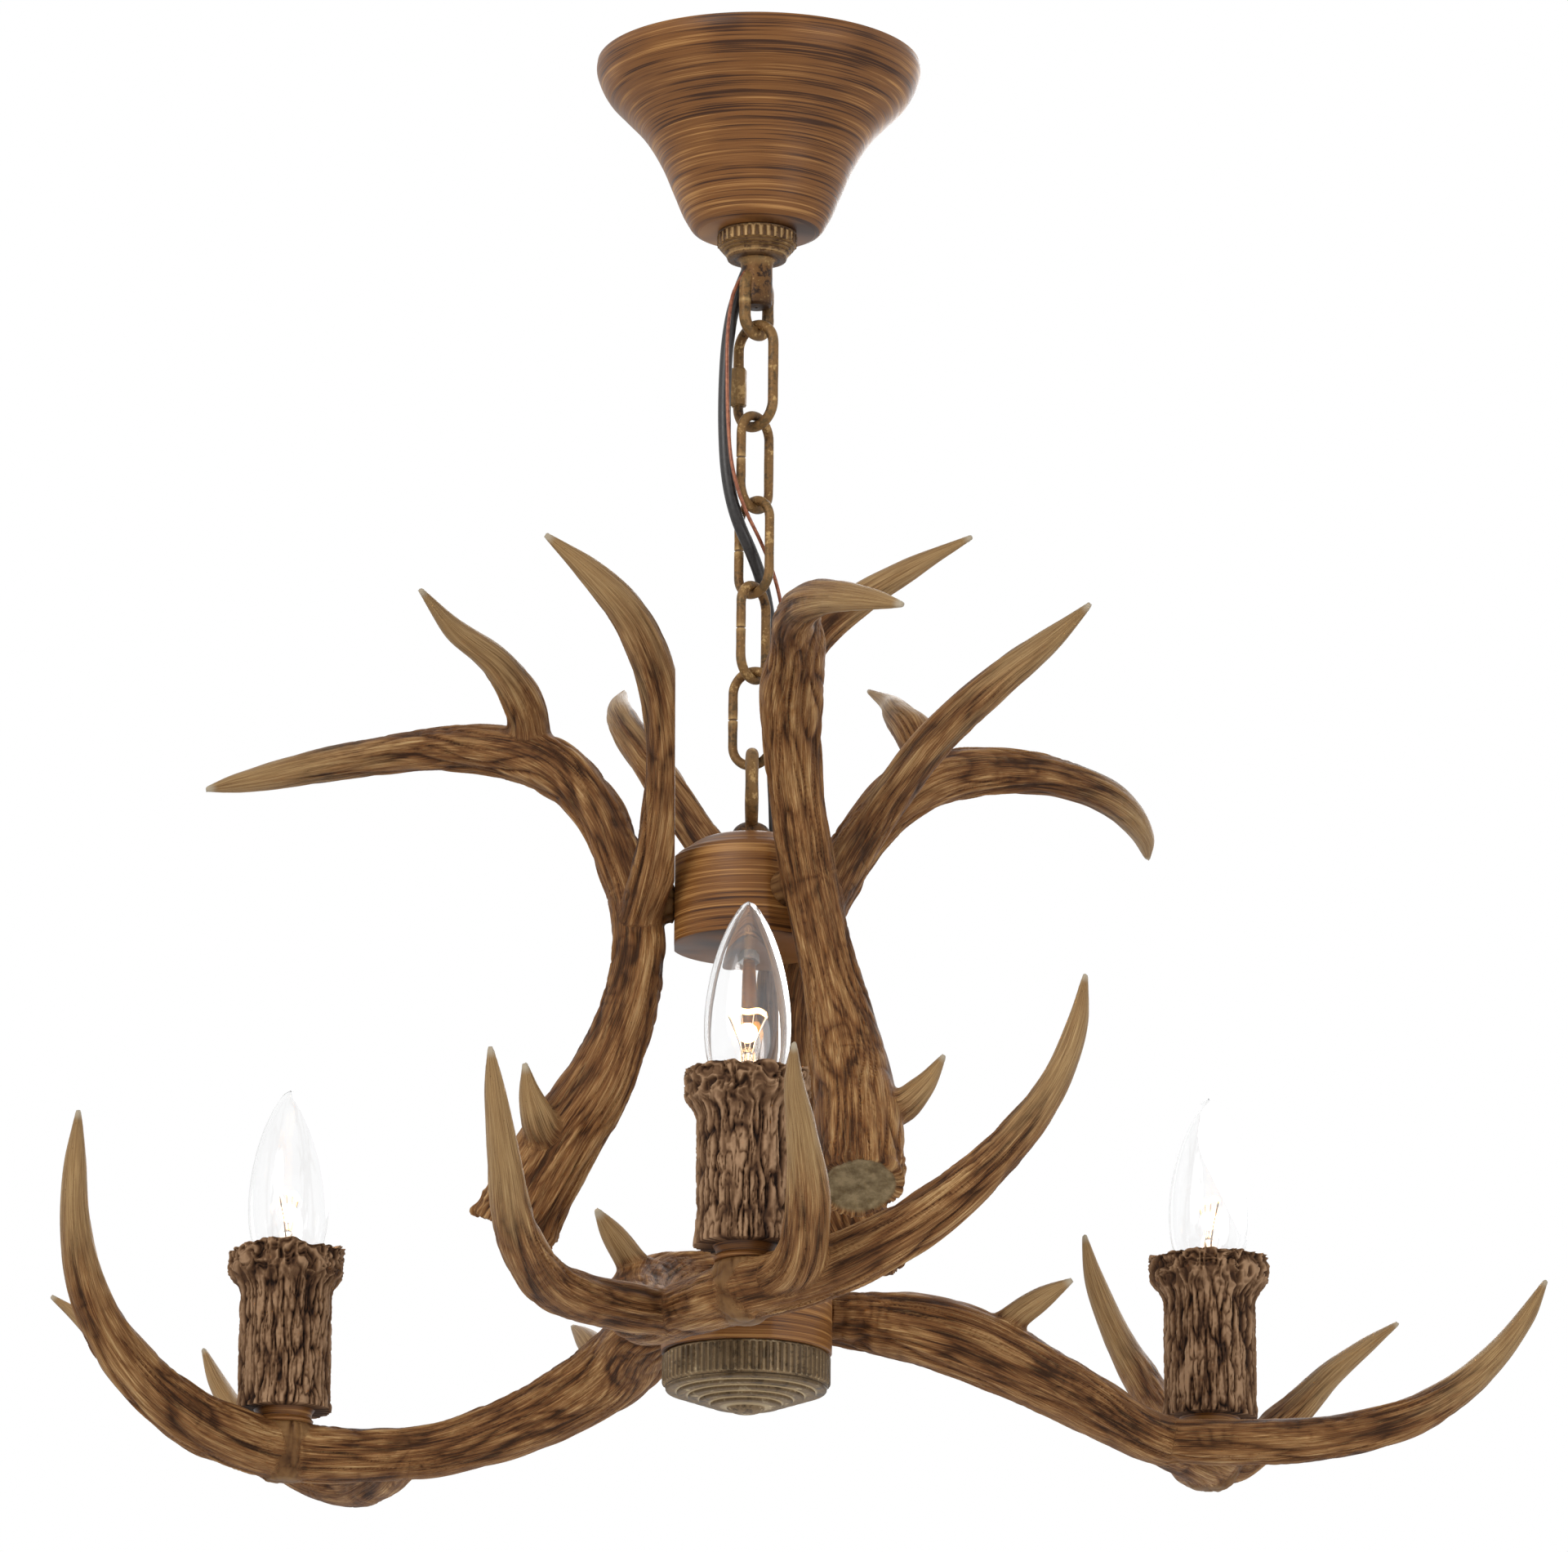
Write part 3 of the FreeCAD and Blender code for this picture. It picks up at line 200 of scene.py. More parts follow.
def lathe(name, outline, sides=96, teeth=0, depth=0.0, ribbed=None, crease=35.0):
    """Turned piece from a closed outline of (radius, height) in millimetres, ribbed where ribbed says."""
    sides = teeth * 8 if teeth else sides
    angles = np.arange(sides) * 2 * pi / sides
    rib = depth * (0.5 - 0.5 * np.clip(1.6 * np.cos(teeth * angles), -1, 1)) if teeth else 0 * angles
    corners = []
    for radius, height in outline:
        reach = radius - (rib if ribbed and ribbed(radius, height) else 0)
        corners.append(ring_of(np.maximum(reach, 0.001), angles, height))
    return mesh_object(name, np.concatenate(corners), grid_faces(len(outline), sides, True), crease)


def eased(points, steps):
    """A smooth run of (radius, height) through the points."""
    p = np.array(points, float)
    run = np.concatenate([[0], np.cumsum(np.linalg.norm(np.diff(p, axis=0), axis=1))])
    slope = np.gradient(p, run, axis=0)
    curve = [tuple(p[0])]
    for k in range(len(p) - 1):
        width = run[k + 1] - run[k]
        for step in range(1, steps + 1):
            curve.append(tuple(hermite(p[k], p[k + 1], slope[k] * width, slope[k + 1] * width, step / steps)))
    return curve


def hermite(start, end, start_slope, end_slope, share):
    """Place on the smooth curve between two ends with these slopes."""
    u2, u3 = share ** 2, share ** 3
    return ((2 * u3 - 3 * u2 + 1) * start + (u3 - 2 * u2 + share) * start_slope
        + (3 * u2 - 2 * u3) * end + (u3 - u2) * end_slope)


def frames(line, closed):
    """Tangent, side and third direction at each place of a line, turning as little as possible."""
    if closed:
        along = np.roll(line, -1, axis=0) - np.roll(line, 1, axis=0)
    else:
        along = np.gradient(line, axis=0)
    along /= np.linalg.norm(along, axis=1)[:, None]
    side = np.zeros_like(line)
    start = np.cross(along[0], (0, 0, 1) if abs(along[0][2]) < 0.9 else (0, 1, 0))
    for k, tangent in enumerate(along):
        start = start - tangent * start.dot(tangent)
        start = start / np.linalg.norm(start)
        side[k] = start
    return along, side, np.cross(along, side)


def tube(name, line, radii, sides, closed=False, swell=lambda angles: 1.0):
    """Round tube along a line, in millimetres, with flat ends where it is open."""
    line = np.asarray(line, float)
    radii = np.broadcast_to(np.asarray(radii, float), len(line))
    _, side, other = frames(line, closed)
    angles = np.arange(sides) * 2 * pi / sides
    wide, deep = (swell(angles) * way(angles) for way in (np.cos, np.sin))
    ring = side[:, None] * wide[None, :, None] + other[:, None] * deep[None, :, None]
    corners = line[:, None] + radii[:, None, None] * ring
    faces = grid_faces(len(line), sides, closed)
    if not closed:
        last = (len(line) - 1) * sides
        faces += [tuple(range(sides))[::-1], tuple(range(last, last + sides))]
    return mesh_object(name, corners.reshape(-1, 3), faces, 40)


def box_of(node):
    """Lowest and highest corner of a node's box, in millimetres."""
    return (Vector(corner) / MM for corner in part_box(node))


def turn(thing, degrees):
    """Turns a piece's mesh about the vertical axis."""
    thing.data.transform(Matrix.Rotation(radians(degrees), 4, "Z"))


def joined(name, things):
    """One object out of several, keeping each one's own places."""
    bpy.context.view_layer.update()
    for thing in things:
        thing.data.transform(thing.matrix_world)
        thing.matrix_world = Matrix.Identity(4)
    with bpy.context.temp_override(active_object=things[0], selected_editable_objects=things):
        bpy.ops.object.join()
    things[0].name = name
    return things[0]


def finished(thing, stuff, body, nodes, slot):
    """Gives a piece its material and its body, and hides the nodes it stands for; slot is not used."""
    thing.data.materials.clear()
    thing.data.materials.append(stuff)
    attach(thing, body)
    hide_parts(*nodes)


# ---- materials ----
class Nodes:
    """A node tree that grows; an input is another node's socket or a constant."""

    def __init__(self, tree):
        self.tree = tree

    def link(self, value, socket):
        if isinstance(value, bpy.types.NodeSocket):
            self.tree.links.new(value, socket)
        else:
            socket.default_value = (*value, 1.0) if socket.type == "RGBA" else value

    def add(self, kind, inputs=None, output=0, **settings):
        """One output of a new node with these inputs and settings."""
        new = self.tree.nodes.new("ShaderNode" + kind)
        for key, value in settings.items():
            setattr(new, key, value)
        for socket, value in (inputs or {}).items():
            self.link(value, new.inputs[socket])
        return new.outputs[output]

    def texture(self, source, scale, detail, rough=0.55):
        """Noise value read at a source vector stretched by scale."""
        mapped = self.add("Mapping", {"Vector": source, "Scale": scale})
        return self.add("TexNoise", {"Vector": mapped, "Scale": 1.0, "Detail": detail,
            "Roughness": rough}, "Fac")

    def ramp(self, value, stops):
        """Colour from a value: stops are (place, linear colour)."""
        new = self.tree.nodes.new("ShaderNodeValToRGB")
        self.link(value, new.inputs["Fac"])
        bands = new.color_ramp.elements
        while len(bands) < len(stops):
            bands.new(0.5)
        for band, (place, colour) in zip(bands, stops):
            band.position = place
            band.color = (*colour, 1.0)
        return new.outputs["Color"]

    def mixed(self, share, first, second):
        return self.add("Mix", {0: share, 6: first, 7: second}, 2, data_type="RGBA")

    def maths(self, operation, first, second=0.0):
        return self.add("Math", {0: first, 1: second}, operation=operation)

    def weighted(self, *terms):
        """Sum of values, each times its weight."""
        total = None
        for value, weight in terms:
            part = self.maths("MULTIPLY", value, weight)
            total = part if total is None else self.maths("ADD", total, part)
        return total

    def less_half(self, value):
        return self.maths("SUBTRACT", value, 0.5)

    def remap(self, value, low, high, to_low, to_high):
        return self.add("MapRange", {"Value": value, "From Min": low, "From Max": high,
            "To Min": to_low, "To Max": to_high})

    def near(self, value, centre, reach, most=1.0):
        """The most where the value is at the centre, and nothing from reach away on."""
        away = self.maths("ABSOLUTE", self.maths("SUBTRACT", value, centre))
        return self.remap(away, 0.0, reach, most, 0.0)


class Surface(Nodes):
    """Material with its Principled shader."""

    def __init__(self, name, roughness=0.5, metallic=0.0, specular=0.5):
        self.stuff = bpy.data.materials.new(name)
        self.stuff.use_nodes = True
        super().__init__(self.stuff.node_tree)
        self.shader = self.tree.nodes["Principled BSDF"]
        self.feed({"Roughness": roughness, "Metallic": metallic, "Specular IOR Level": specular})

    def feed(self, inputs):
        for socket, value in inputs.items():
            self.link(value, self.shader.inputs[socket])

    def place(self):
        return self.add("TexCoord", output="Object")

    def bump(self, height, strength, distance):
        self.feed({"Normal": self.add("Bump", {"Height": height, "Strength": strength,
            "Distance": distance * MM})})


def streaked_paint(name, dark, middle, light):
    """Brown paint wiped round the piece, so that fine level streaks of dark and tan show."""
    paint = Surface(name, specular=0.25)
    place = paint.place()
    broad = paint.texture(place, (9, 9, 800), 3.0)
    fine = paint.texture(place, (18, 18, 2400), 2.0, 0.7)
    patch = paint.texture(place, (18, 18, 24), 2.0)
    streak = paint.weighted((broad, 0.55), (fine, 0.45), (paint.less_half(patch), 0.35))
    colour = paint.ramp(streak, [(0.40, dark), (0.48, middle), (0.54, middle), (0.65, light)])
    paint.feed({"Base Color": colour, "Roughness": paint.remap(fine, 0.3, 0.7, 0.34, 0.52)})
    paint.bump(fine, 0.25, 0.25)
    return paint.stuff


def mottled_metal(name, dark, middle, light, metallic, grain, worn):
    """Cast metal under an antique finish: dark in the hollows, rubbed bright on edges and specks."""
    cast = Surface(name, metallic=metallic, specular=0.3)
    place = cast.place()
    spread = 150 * grain
    coarse = cast.texture(place, (spread,) * 3, 5.0, 0.65)
    small = cast.texture(place, (5 * spread,) * 3, 3.0, 0.6)
    value = cast.weighted((coarse, 0.65), (small, 0.35))
    colour = cast.ramp(value, [(0.42, dark), (0.49, middle), (0.56, middle), (0.64, light)])
    edge = cast.add("NewGeometry", output="Pointiness")
    rubbed = cast.maths("MULTIPLY", cast.remap(edge, 0.505, 0.56, 0.0, 1.0), worn)
    hollow = cast.maths("MULTIPLY", cast.remap(edge, 0.495, 0.44, 0.0, 1.0), 0.8)
    cast.feed({"Base Color": cast.mixed(hollow, cast.mixed(rubbed, colour, light), dark),
        "Roughness": cast.remap(coarse, 0.3, 0.7, 0.38, 0.68)})
    cast.bump(small, 0.35, 0.35)
    return cast.stuff


def antler_resin():
    """Cast resin: fine dark and tan lines along the thick parts, smooth cream towards the tips."""
    resin = Surface("antler_resin", specular=0.14)
    grain = resin.add("Attribute", output="Vector", attribute_name="grain")
    tone, pale, tip, cut = (resin.add("Attribute", output="Fac", attribute_name=label)
        for label in ("tone", "pale", "tip", "cut"))
    place = resin.place()
    broad = resin.texture(grain, (1.4, 1.4, 0.7), 3.0, 0.6)
    streak = resin.texture(grain, (11.0, 11.0, 1.3), 5.0, 0.7)
    hair = resin.texture(grain, (30.0, 30.0, 2.6), 2.0, 0.6)
    scratch = resin.texture(grain, (13.0, 13.0, 1.2), 2.0)
    speck = resin.texture(place, (1000,) * 3, 1.0)
    pore = resin.texture(place, (220,) * 3, 4.0, 0.65)
    lines = resin.weighted((streak, 0.6), (hair, 0.4))
    thin = resin.near(hair, 0.5, 0.035)
    glint = resin.near(scratch, 0.52, 0.03, 0.6)
    relief = resin.weighted((tone, 0.18), (lines, 0.60), (broad, 0.16))
    brown = resin.ramp(relief, [(0.38, (0.034, 0.012, 0.003)), (0.45, (0.120, 0.046, 0.014)),
        (0.52, (0.215, 0.095, 0.032)), (0.575, (0.34, 0.180, 0.070)), (0.65, (0.56, 0.37, 0.175))])
    brown = resin.mixed(resin.maths("MULTIPLY", thin, 0.45), brown, (0.040, 0.015, 0.005))
    brown = resin.mixed(resin.maths("MULTIPLY", glint, tone), brown, (0.46, 0.29, 0.12))
    cream = resin.ramp(lines, [(0.32, (0.14, 0.068, 0.026)), (0.44, (0.255, 0.145, 0.060)),
        (0.54, (0.37, 0.23, 0.100)), (0.68, (0.50, 0.34, 0.17))])
    share = resin.weighted((pale, 1.0), (resin.less_half(broad), 1.6), (resin.less_half(lines), 0.8))
    colour = resin.mixed(resin.remap(share, 0.35, 0.95, 0.0, 1.0), brown, cream)
    colour = resin.mixed(resin.remap(speck, 0.74, 0.80, 0.0, 0.7), colour, (0.035, 0.016, 0.006))
    colour = resin.mixed(resin.remap(tip, 0.0, 1.0, 0.0, 0.8), colour, (0.52, 0.45, 0.34))
    end_face = resin.ramp(pore, [(0.36, (0.12, 0.08, 0.036)), (0.62, (0.26, 0.19, 0.10))])
    resin.feed({"Base Color": resin.mixed(cut, colour, end_face),
        "Roughness": resin.remap(pale, 0.0, 1.0, 0.58, 0.40)})
    resin.bump(resin.weighted((lines, 1.0), (speck, 0.25), (thin, -0.25)), 0.6, 0.5)
    return resin.stuff


def bark():
    """Bark of the candle sleeves: narrow dark cracks between red-brown ridges, and painted shade inside the
    bore.
    """
    rind = Surface("bark", 0.75, specular=0.15)
    tone = rind.add("Attribute", output="Fac", attribute_name="tone")
    place = rind.place()
    small = rind.texture(place, (700, 700, 260), 4.0, 0.7)
    broad = rind.texture(place, (90, 90, 45), 2.0)
    value = rind.weighted((tone, 0.74), (small, 0.22), (broad, 0.20))
    colour = rind.ramp(value, [(0.36, (0.016, 0.007, 0.004)), (0.55, (0.070, 0.032, 0.015)),
        (0.74, (0.165, 0.088, 0.044)), (0.95, (0.36, 0.22, 0.125))])
    rind.feed({"Base Color": colour})
    rind.bump(small, 0.6, 0.6)
    return rind.stuff


def clear_glass(name):
    """Clear glass, with painted shade on its rims: a little greyer where it is seen edge on."""
    glass = Surface(name, 0.0)
    # Painted shade: the base colour turns grey where the surface is seen edge on.
    edge = glass.add("LayerWeight", {"Blend": 0.35}, "Facing")
    smoke = glass.texture(glass.place(), (60,) * 3, 1.0)
    value = glass.weighted((edge, 1.0), (smoke, 0.04))
    colour = glass.ramp(value, [(0.20, (0.985, 0.985, 0.985)), (0.55, (0.95, 0.952, 0.955)),
        (0.80, (0.87, 0.875, 0.88)), (1.0, (0.70, 0.71, 0.72))])
    glass.feed({"Transmission Weight": 1.0, "IOR": 1.45, "Base Color": colour})
    return glass.stuff


def glow(name, colour, strength):
    """Glowing wire that is a little uneven."""
    wire = Surface(name, 0.4)
    uneven = wire.texture(wire.place(), (700,) * 3, 1.0)
    wire.feed({"Base Color": colour, "Emission Color": colour,
        "Emission Strength": wire.remap(uneven, 0.3, 0.7, strength * 0.8, strength)})
    return wire.stuff


def moulded(name, dark, light, roughness, metallic=0.0, grain=260):
    """Plain moulded, drawn or plated surface with faint mottling and a fine grain."""
    plain = Surface(name, roughness, metallic)
    value = plain.texture(plain.place(), (grain,) * 3, 4.0, 0.6)
    plain.feed({"Base Color": plain.ramp(value, [(0.35, dark), (0.65, light)]),
        "Roughness": plain.remap(value, 0.3, 0.7, roughness * 0.85, roughness * 1.15)})
    plain.bump(value, 0.15, 0.15)
    return plain.stuff


PAINT = streaked_paint("canopy_paint", (0.045, 0.015, 0.004), (0.185, 0.073, 0.019), (0.42, 0.21, 0.068))
AGED = mottled_metal("aged_metal",
    (0.022, 0.008, 0.002), (0.145, 0.066, 0.018), (0.50, 0.32, 0.13), 0.35, 1.0, 0.6)
RUBBED = mottled_metal("rubbed_metal",
    (0.060, 0.026, 0.009), (0.26, 0.145, 0.055), (0.58, 0.38, 0.17), 0.3, 1.0, 1.0)
BRONZE = mottled_metal("hub_bronze",
    (0.070, 0.043, 0.020), (0.215, 0.142, 0.072), (0.56, 0.44, 0.27), 0.3, 0.7, 1.0)
ANTLER = antler_resin()
BARK = bark()
GLASS = clear_glass("bulb_glass")
STEM_GLASS = clear_glass("stem_glass")
STEEL = moulded("steel", (0.42, 0.41, 0.39), (0.60, 0.59, 0.57), 0.35, 0.9)
BRASS = moulded("base_brass", (0.50, 0.38, 0.20), (0.68, 0.54, 0.30), 0.30, 0.9)
PHENOLIC = moulded("phenolic", (0.70, 0.67, 0.60), (0.80, 0.77, 0.70), 0.45)
COVER = moulded("cord_cover", (0.012, 0.010, 0.010), (0.030, 0.026, 0.024), 0.42, grain=500)
COPPER = moulded("ground_copper", (0.16, 0.040, 0.018), (0.34, 0.12, 0.055), 0.35, 0.3, grain=500)
LEAD = moulded("lead_wire", (0.30, 0.28, 0.26), (0.42, 0.40, 0.37), 0.35, 0.9)
FILAMENT = glow("filament", (1.0, 0.55, 0.18), 10.0)


# ---- antlers ----
STEM_SIDES, STEM_STEP = 40, 1.5
VOXEL = 0.85 / FINE
GRAIN_LENGTH = 40.0
RIDGE_PITCH = 3.3


def centreline(points):
    """Places, radii and distances along a smooth line through a stem's points, in millimetres."""
    p = np.array(points, float)
    run = np.concatenate([[0], np.cumsum(np.linalg.norm(np.diff(p[:, :3], axis=0), axis=1))])
    slope = np.gradient(p, run, axis=0)
    count = max(int(run[-1] / STEM_STEP), 4)
    reach = np.linspace(0, run[-1], count)
    k = np.clip(np.searchsorted(run, reach, side="right") - 1, 0, len(p) - 2)
    width = (run[k + 1] - run[k])[:, None]
    share = ((reach - run[k])[:, None]) / width
    q = hermite(p[k], p[k + 1], slope[k] * width, slope[k + 1] * width, share)
    return q[:, :3], np.maximum(q[:, 3], 1.0), reach


def oval_swell(angles):
    """Stems are a little flat on two sides and fuller on three."""
    return 1 + 0.05 * np.cos(2 * angles) + 0.03 * np.cos(3 * angles + 1.0)


def rough_union(stems):
    """All stems of an antler as one closed mesh."""
    whole = joined("stems", [tube("stem", line, radii, STEM_SIDES, swell=oval_swell)
        for line, radii, _ in stems.values()])
    blend = whole.modifiers.new("blend", "REMESH")
    blend.mode = "VOXEL"
    blend.voxel_size = VOXEL * MM
    bpy.context.view_layer.update()
    mesh = bpy.data.meshes.new_from_object(whole.evaluated_get(bpy.context.evaluated_depsgraph_get()))
    bpy.data.objects.remove(whole)
    return mesh


def keep(mesh, label, values, kind="FLOAT", field="value"):
    """Writes a value for each corner, for a material to read."""
    mesh.attributes.new(label, kind, "POINT").data.foreach_set(field, values.astype(np.float32).ravel())


def corners_of(mesh, what="co"):
    values = np.empty(3 * len(mesh.vertices), np.float32)
    mesh.vertices.foreach_get(what, values)
    return values.reshape(-1, 3).astype(float)


def relaxed(corners, mesh, weight, rounds):
    """Corners moved towards the mean of their neighbours, by weight, some rounds over."""
    ends = np.empty(2 * len(mesh.edges), np.int32)
    mesh.edges.foreach_get("vertices", ends)
    a, b = ends.reshape(-1, 2).T
    own, next_to = np.concatenate([a, b]), np.concatenate([b, a])
    count = np.bincount(own, minlength=len(corners))[:, None]
    for _ in range(rounds):
        total = np.stack([np.bincount(own, corners[next_to, i], len(corners)) for i in range(3)], axis=1)
        corners = corners + weight[:, None] * (total / count - corners)
    return corners


def near_stem(corners, line, radii, reach):
    """For each corner: gap to the stem's surface, angle round it, distance along it and its radius there."""
    along, side, other = frames(line, False)
    nearest = np.empty(len(corners), int)
    for start in range(0, len(corners), 4000):
        block = corners[start:start + 4000].astype(np.float32)
        apart = ((block[:, None] - line[None].astype(np.float32)) ** 2).sum(axis=2)
        nearest[start:start + 4000] = apart.argmin(axis=1)
    offset = corners - line[nearest]
    angle = np.arctan2((offset * other[nearest]).sum(axis=1), (offset * side[nearest]).sum(axis=1))
    length = reach[nearest] + (offset * along[nearest]).sum(axis=1)
    return np.linalg.norm(offset, axis=1) - radii[nearest], angle, length, radii[nearest]


def furrow(sharp, *columns):
    """Narrow furrows, 1 at their floor, along the places where the noise changes sign."""
    return (1 - np.abs(noise(*columns))) ** sharp


def grooves(angle, length, radius, seed):
    """Height of the relief from 0 to 1: long narrow furrows between fine ridges, and flaky patches."""
    around = circle(angle)
    wander = 0.4 * noise(around * 1.1, length / 38.0 + seed)
    turned = circle(angle + wander) * radius[:, None]
    deep = furrow(4, turned / RIDGE_PITCH, length / 34.0 + seed)
    fine = furrow(3, turned / (0.6 * RIDGE_PITCH), length / 18.0 + 7.3 + seed)
    flake = furrow(2, turned / 3.2, length / 4.5 + 3.1 + seed)
    flaky = smoothstep(0.10, 0.45, noise(around * 1.3, length / 24.0 + 11.0 + seed))
    height = 1.05 - 0.75 * deep - 0.40 * fine
    return np.clip(height - flaky * (0.25 * height + 0.35 * flake - 0.12), 0, 1)


def antler_mesh(name, table, seat, seed, end_face):
    """Branched antler at azimuth 0, with relief and the attributes that its material reads."""
    stems = {}
    for stem, points in table.items():
        moved = [(x + seat[0], y + seat[1], z + seat[2], r) for x, y, z, r in points]
        stems[stem] = centreline(moved)
    mesh = rough_union(stems)
    corners = corners_of(mesh) / MM
    facts = {stem: near_stem(corners, *shape) for stem, shape in stems.items()}
    gaps = np.stack([f[0] for f in facts.values()], axis=1)
    close = np.sort(gaps, axis=1)[:, 1]
    corners = relaxed(corners, mesh, 0.5 * smoothstep(9.0, 2.0, close) + 0.08, int(14 * FINE))
    mesh.vertices.foreach_set("co", (corners * MM).ravel())
    mesh.update()
    normals = corners_of(mesh, "normal")
    weights = np.exp(-(np.maximum(gaps, 0) / 2.0) ** 2) + 1e-9
    weights /= weights.sum(axis=1)[:, None]
    owner = gaps.argmin(axis=1)
    height, rough, pale, tip = (np.zeros(len(corners)) for _ in range(4))
    grain = np.zeros((len(corners), 3))
    for k, (stem, (gap, angle, length, radius)) in enumerate(facts.items()):
        height += weights[:, k] * grooves(angle, length, radius, seed + 5.0 * k)
        worn = smoothstep(-0.5, 0.15, noise(circle(angle), length / 42.0 + 3.0 * k + seed))
        rough += weights[:, k] * smoothstep(4.5, 10.5, radius) * (0.45 + 0.55 * worn)
        pale += weights[:, k] * (1 - smoothstep(5.0, 10.8, radius))
        if stem in ("pad", "boss"):
            continue
        mine = owner == k
        to_end = stems[stem][2][-1] - length
        tip = np.maximum(tip, np.where(mine, smoothstep(5.0, 1.0, to_end), 0))
        grain[mine] = np.column_stack([circle(angle), length / GRAIN_LENGTH + k])[mine]
    cut = np.zeros(len(corners))
    lift = 1.7 * rough * (height - 0.68) + 0.3 * noise(corners / 14.0)
    if end_face:
        line, radii, _ = stems["beam"]
        away = (line[0] - line[1]) / np.linalg.norm(line[0] - line[1])
        depth = (corners - line[0]) @ away
        across = np.linalg.norm(corners - line[0] - depth[:, None] * away, axis=1)
        cut = smoothstep(-1.3, -0.4, depth) * smoothstep(0.86 * radii[0], 0.80 * radii[0], across)
        burr = smoothstep(-17.0, -6.0, depth) * smoothstep(2.2 * radii[0], 1.5 * radii[0], across)
        crumbs = furrow(2, corners / 5.0) * (0.6 + 0.8 * noise(corners / 9.0 + 4.0))
        lift = (lift + 2.6 * burr * (crumbs - 0.25)) * (1 - cut) - 1.2 * cut
    flat = (np.hypot(corners[:, 0] - LAMP_AXIS, corners[:, 1]) < 14.0) & (corners[:, 2] > LAMP_SEAT - 0.6)
    base = corners[:, 0] < seat[0] + 1.0
    lift = np.where(flat | base, 0.0, lift)
    corners = corners + normals * lift[:, None]
    corners[:, 2] = np.where(flat, LAMP_SEAT, corners[:, 2])
    corners[:, 0] = np.where(base, np.maximum(corners[:, 0], seat[0]), corners[:, 0])
    mesh.vertices.foreach_set("co", (corners * MM).ravel())
    for label, values in (("tone", height), ("pale", pale), ("tip", tip), ("cut", cut)):
        keep(mesh, label, values)
    keep(mesh, "grain", grain, "FLOAT_VECTOR", "vector")
    mesh.name = name
    mesh.update()
    mesh.shade_smooth()
    return mesh


def antlers():
    for tier, table, seat, seed, first in (
            ("upper", UPPER_ANTLER, UPPER_SEAT, 0.0, UPPER_FIRST_AZIMUTH),
            ("lower", LOWER_ANTLER, LOWER_SEAT, 60.0, LOWER_FIRST_AZIMUTH)):
        mesh = antler_mesh(tier + "_antler", table, seat, seed, tier == "upper")
        for arm, letter in enumerate(ARMS):
            thing = linked("%s_antler_%s_resin" % (tier, letter), mesh.copy())
            turn(thing, first + 120 * arm)
            finished(thing, ANTLER, "fixture", ["%s_antler_%s" % (tier, letter)], "antler_resin")


# ---- ceiling fitting ----
def canopy():
    low, high = box_of("canopy")
    rim, fall = high.x, low.z
    waist, foot, wall = 40.5, 29.8, 1.2
    outside = eased([
        (rim - 0.3, 0.0), (rim, 0.04 * fall), (0.98 * rim, 0.11 * fall), (0.93 * rim, 0.195 * fall),
        (0.855 * rim, 0.27 * fall), (0.72 * rim, 0.405 * fall), (waist, 0.6 * fall),
        (0.5 * (waist + foot), 0.77 * fall), (foot, 0.93 * fall), (0.9 * foot, 0.985 * fall),
        (0.81 * foot, fall),
    ], 6)
    inside = [(r - wall, min(z + (wall if r < foot else 0.0), 0.0)) for r, z in outside][::-1]
    outline = outside + [(9.9, fall), (9.9, fall + wall)] + inside
    finished(lathe("canopy_bell", outline, 160), PAINT, "ceiling_plate", ["canopy"], "canopy_paint")


def collar():
    low, high = box_of("canopy_collar")
    top, bottom, wide, step, bore = high.z, low.z, 16.9, 12.7, 9.55
    knurl_top, knurl_low = top - 1.2, top - 5.8
    outline = [(bore, top), (wide - 1.2, top), (wide - 0.3, top - 0.4), (wide - 0.4, knurl_top + 0.1),
        (wide, knurl_top - 0.3), (wide, knurl_low + 0.3), (wide - 0.5, knurl_low)]
    fall = (knurl_low - bottom - 1.2) / 4
    for ring in range(1, 4):
        radius, level = wide - ring * (wide - step) / 4, knurl_low - ring * fall
        outline += [(radius - 0.7, level + 0.85 * fall), (radius - 0.1, level + 0.65 * fall),
            (radius, level + 0.35 * fall), (radius - 0.3, level + 0.05 * fall)]
    outline += [(step - 0.2, bottom + 1.6), (step, bottom + 1.0), (step - 0.4, bottom + 0.2),
        (step - 1.2, bottom), (bore, bottom)]
    thing = lathe("collar_nut", outline, teeth=32, depth=0.8,
        ribbed=lambda r, z: r > wide - 0.1 and knurl_low < z < knurl_top)
    finished(thing, RUBBED, "collar", ["canopy_collar"], "aged_metal")


def canopy_loop():
    low, high = box_of("canopy_loop")
    neck_top, neck, wire, length, width = -87.0, 6.9, 5.0, 31.5, 20.0
    neck_low = low.z + length - wire - 4.0
    stem = lathe("stem", [(4.9, high.z), (9.5, high.z), (9.5, neck_top), (neck + 0.7, neck_top),
        (neck, neck_top - 1.0), (neck - 0.3, neck_top - 4.0), (neck, neck_low - 4.0),
        (neck - 0.4, neck_low - 7.0), (neck - 1.6, neck_low - 8.0), (0.6, neck_low - 8.2),
        (0.6, neck_top - 1.0), (4.9, neck_top - 0.5)], 64)
    line = oval_line(length, width, wire, low.z + length, low.z + length / 2, 0.02)
    loop = tube("loop", line, wire / 2 * hammered(len(line), 9.0), 28)
    turn(loop, LOOP_HEADING)
    finished(joined("canopy_loop_cast", [stem, loop]), AGED, "ceiling_plate", ["canopy_loop"], "aged_metal")


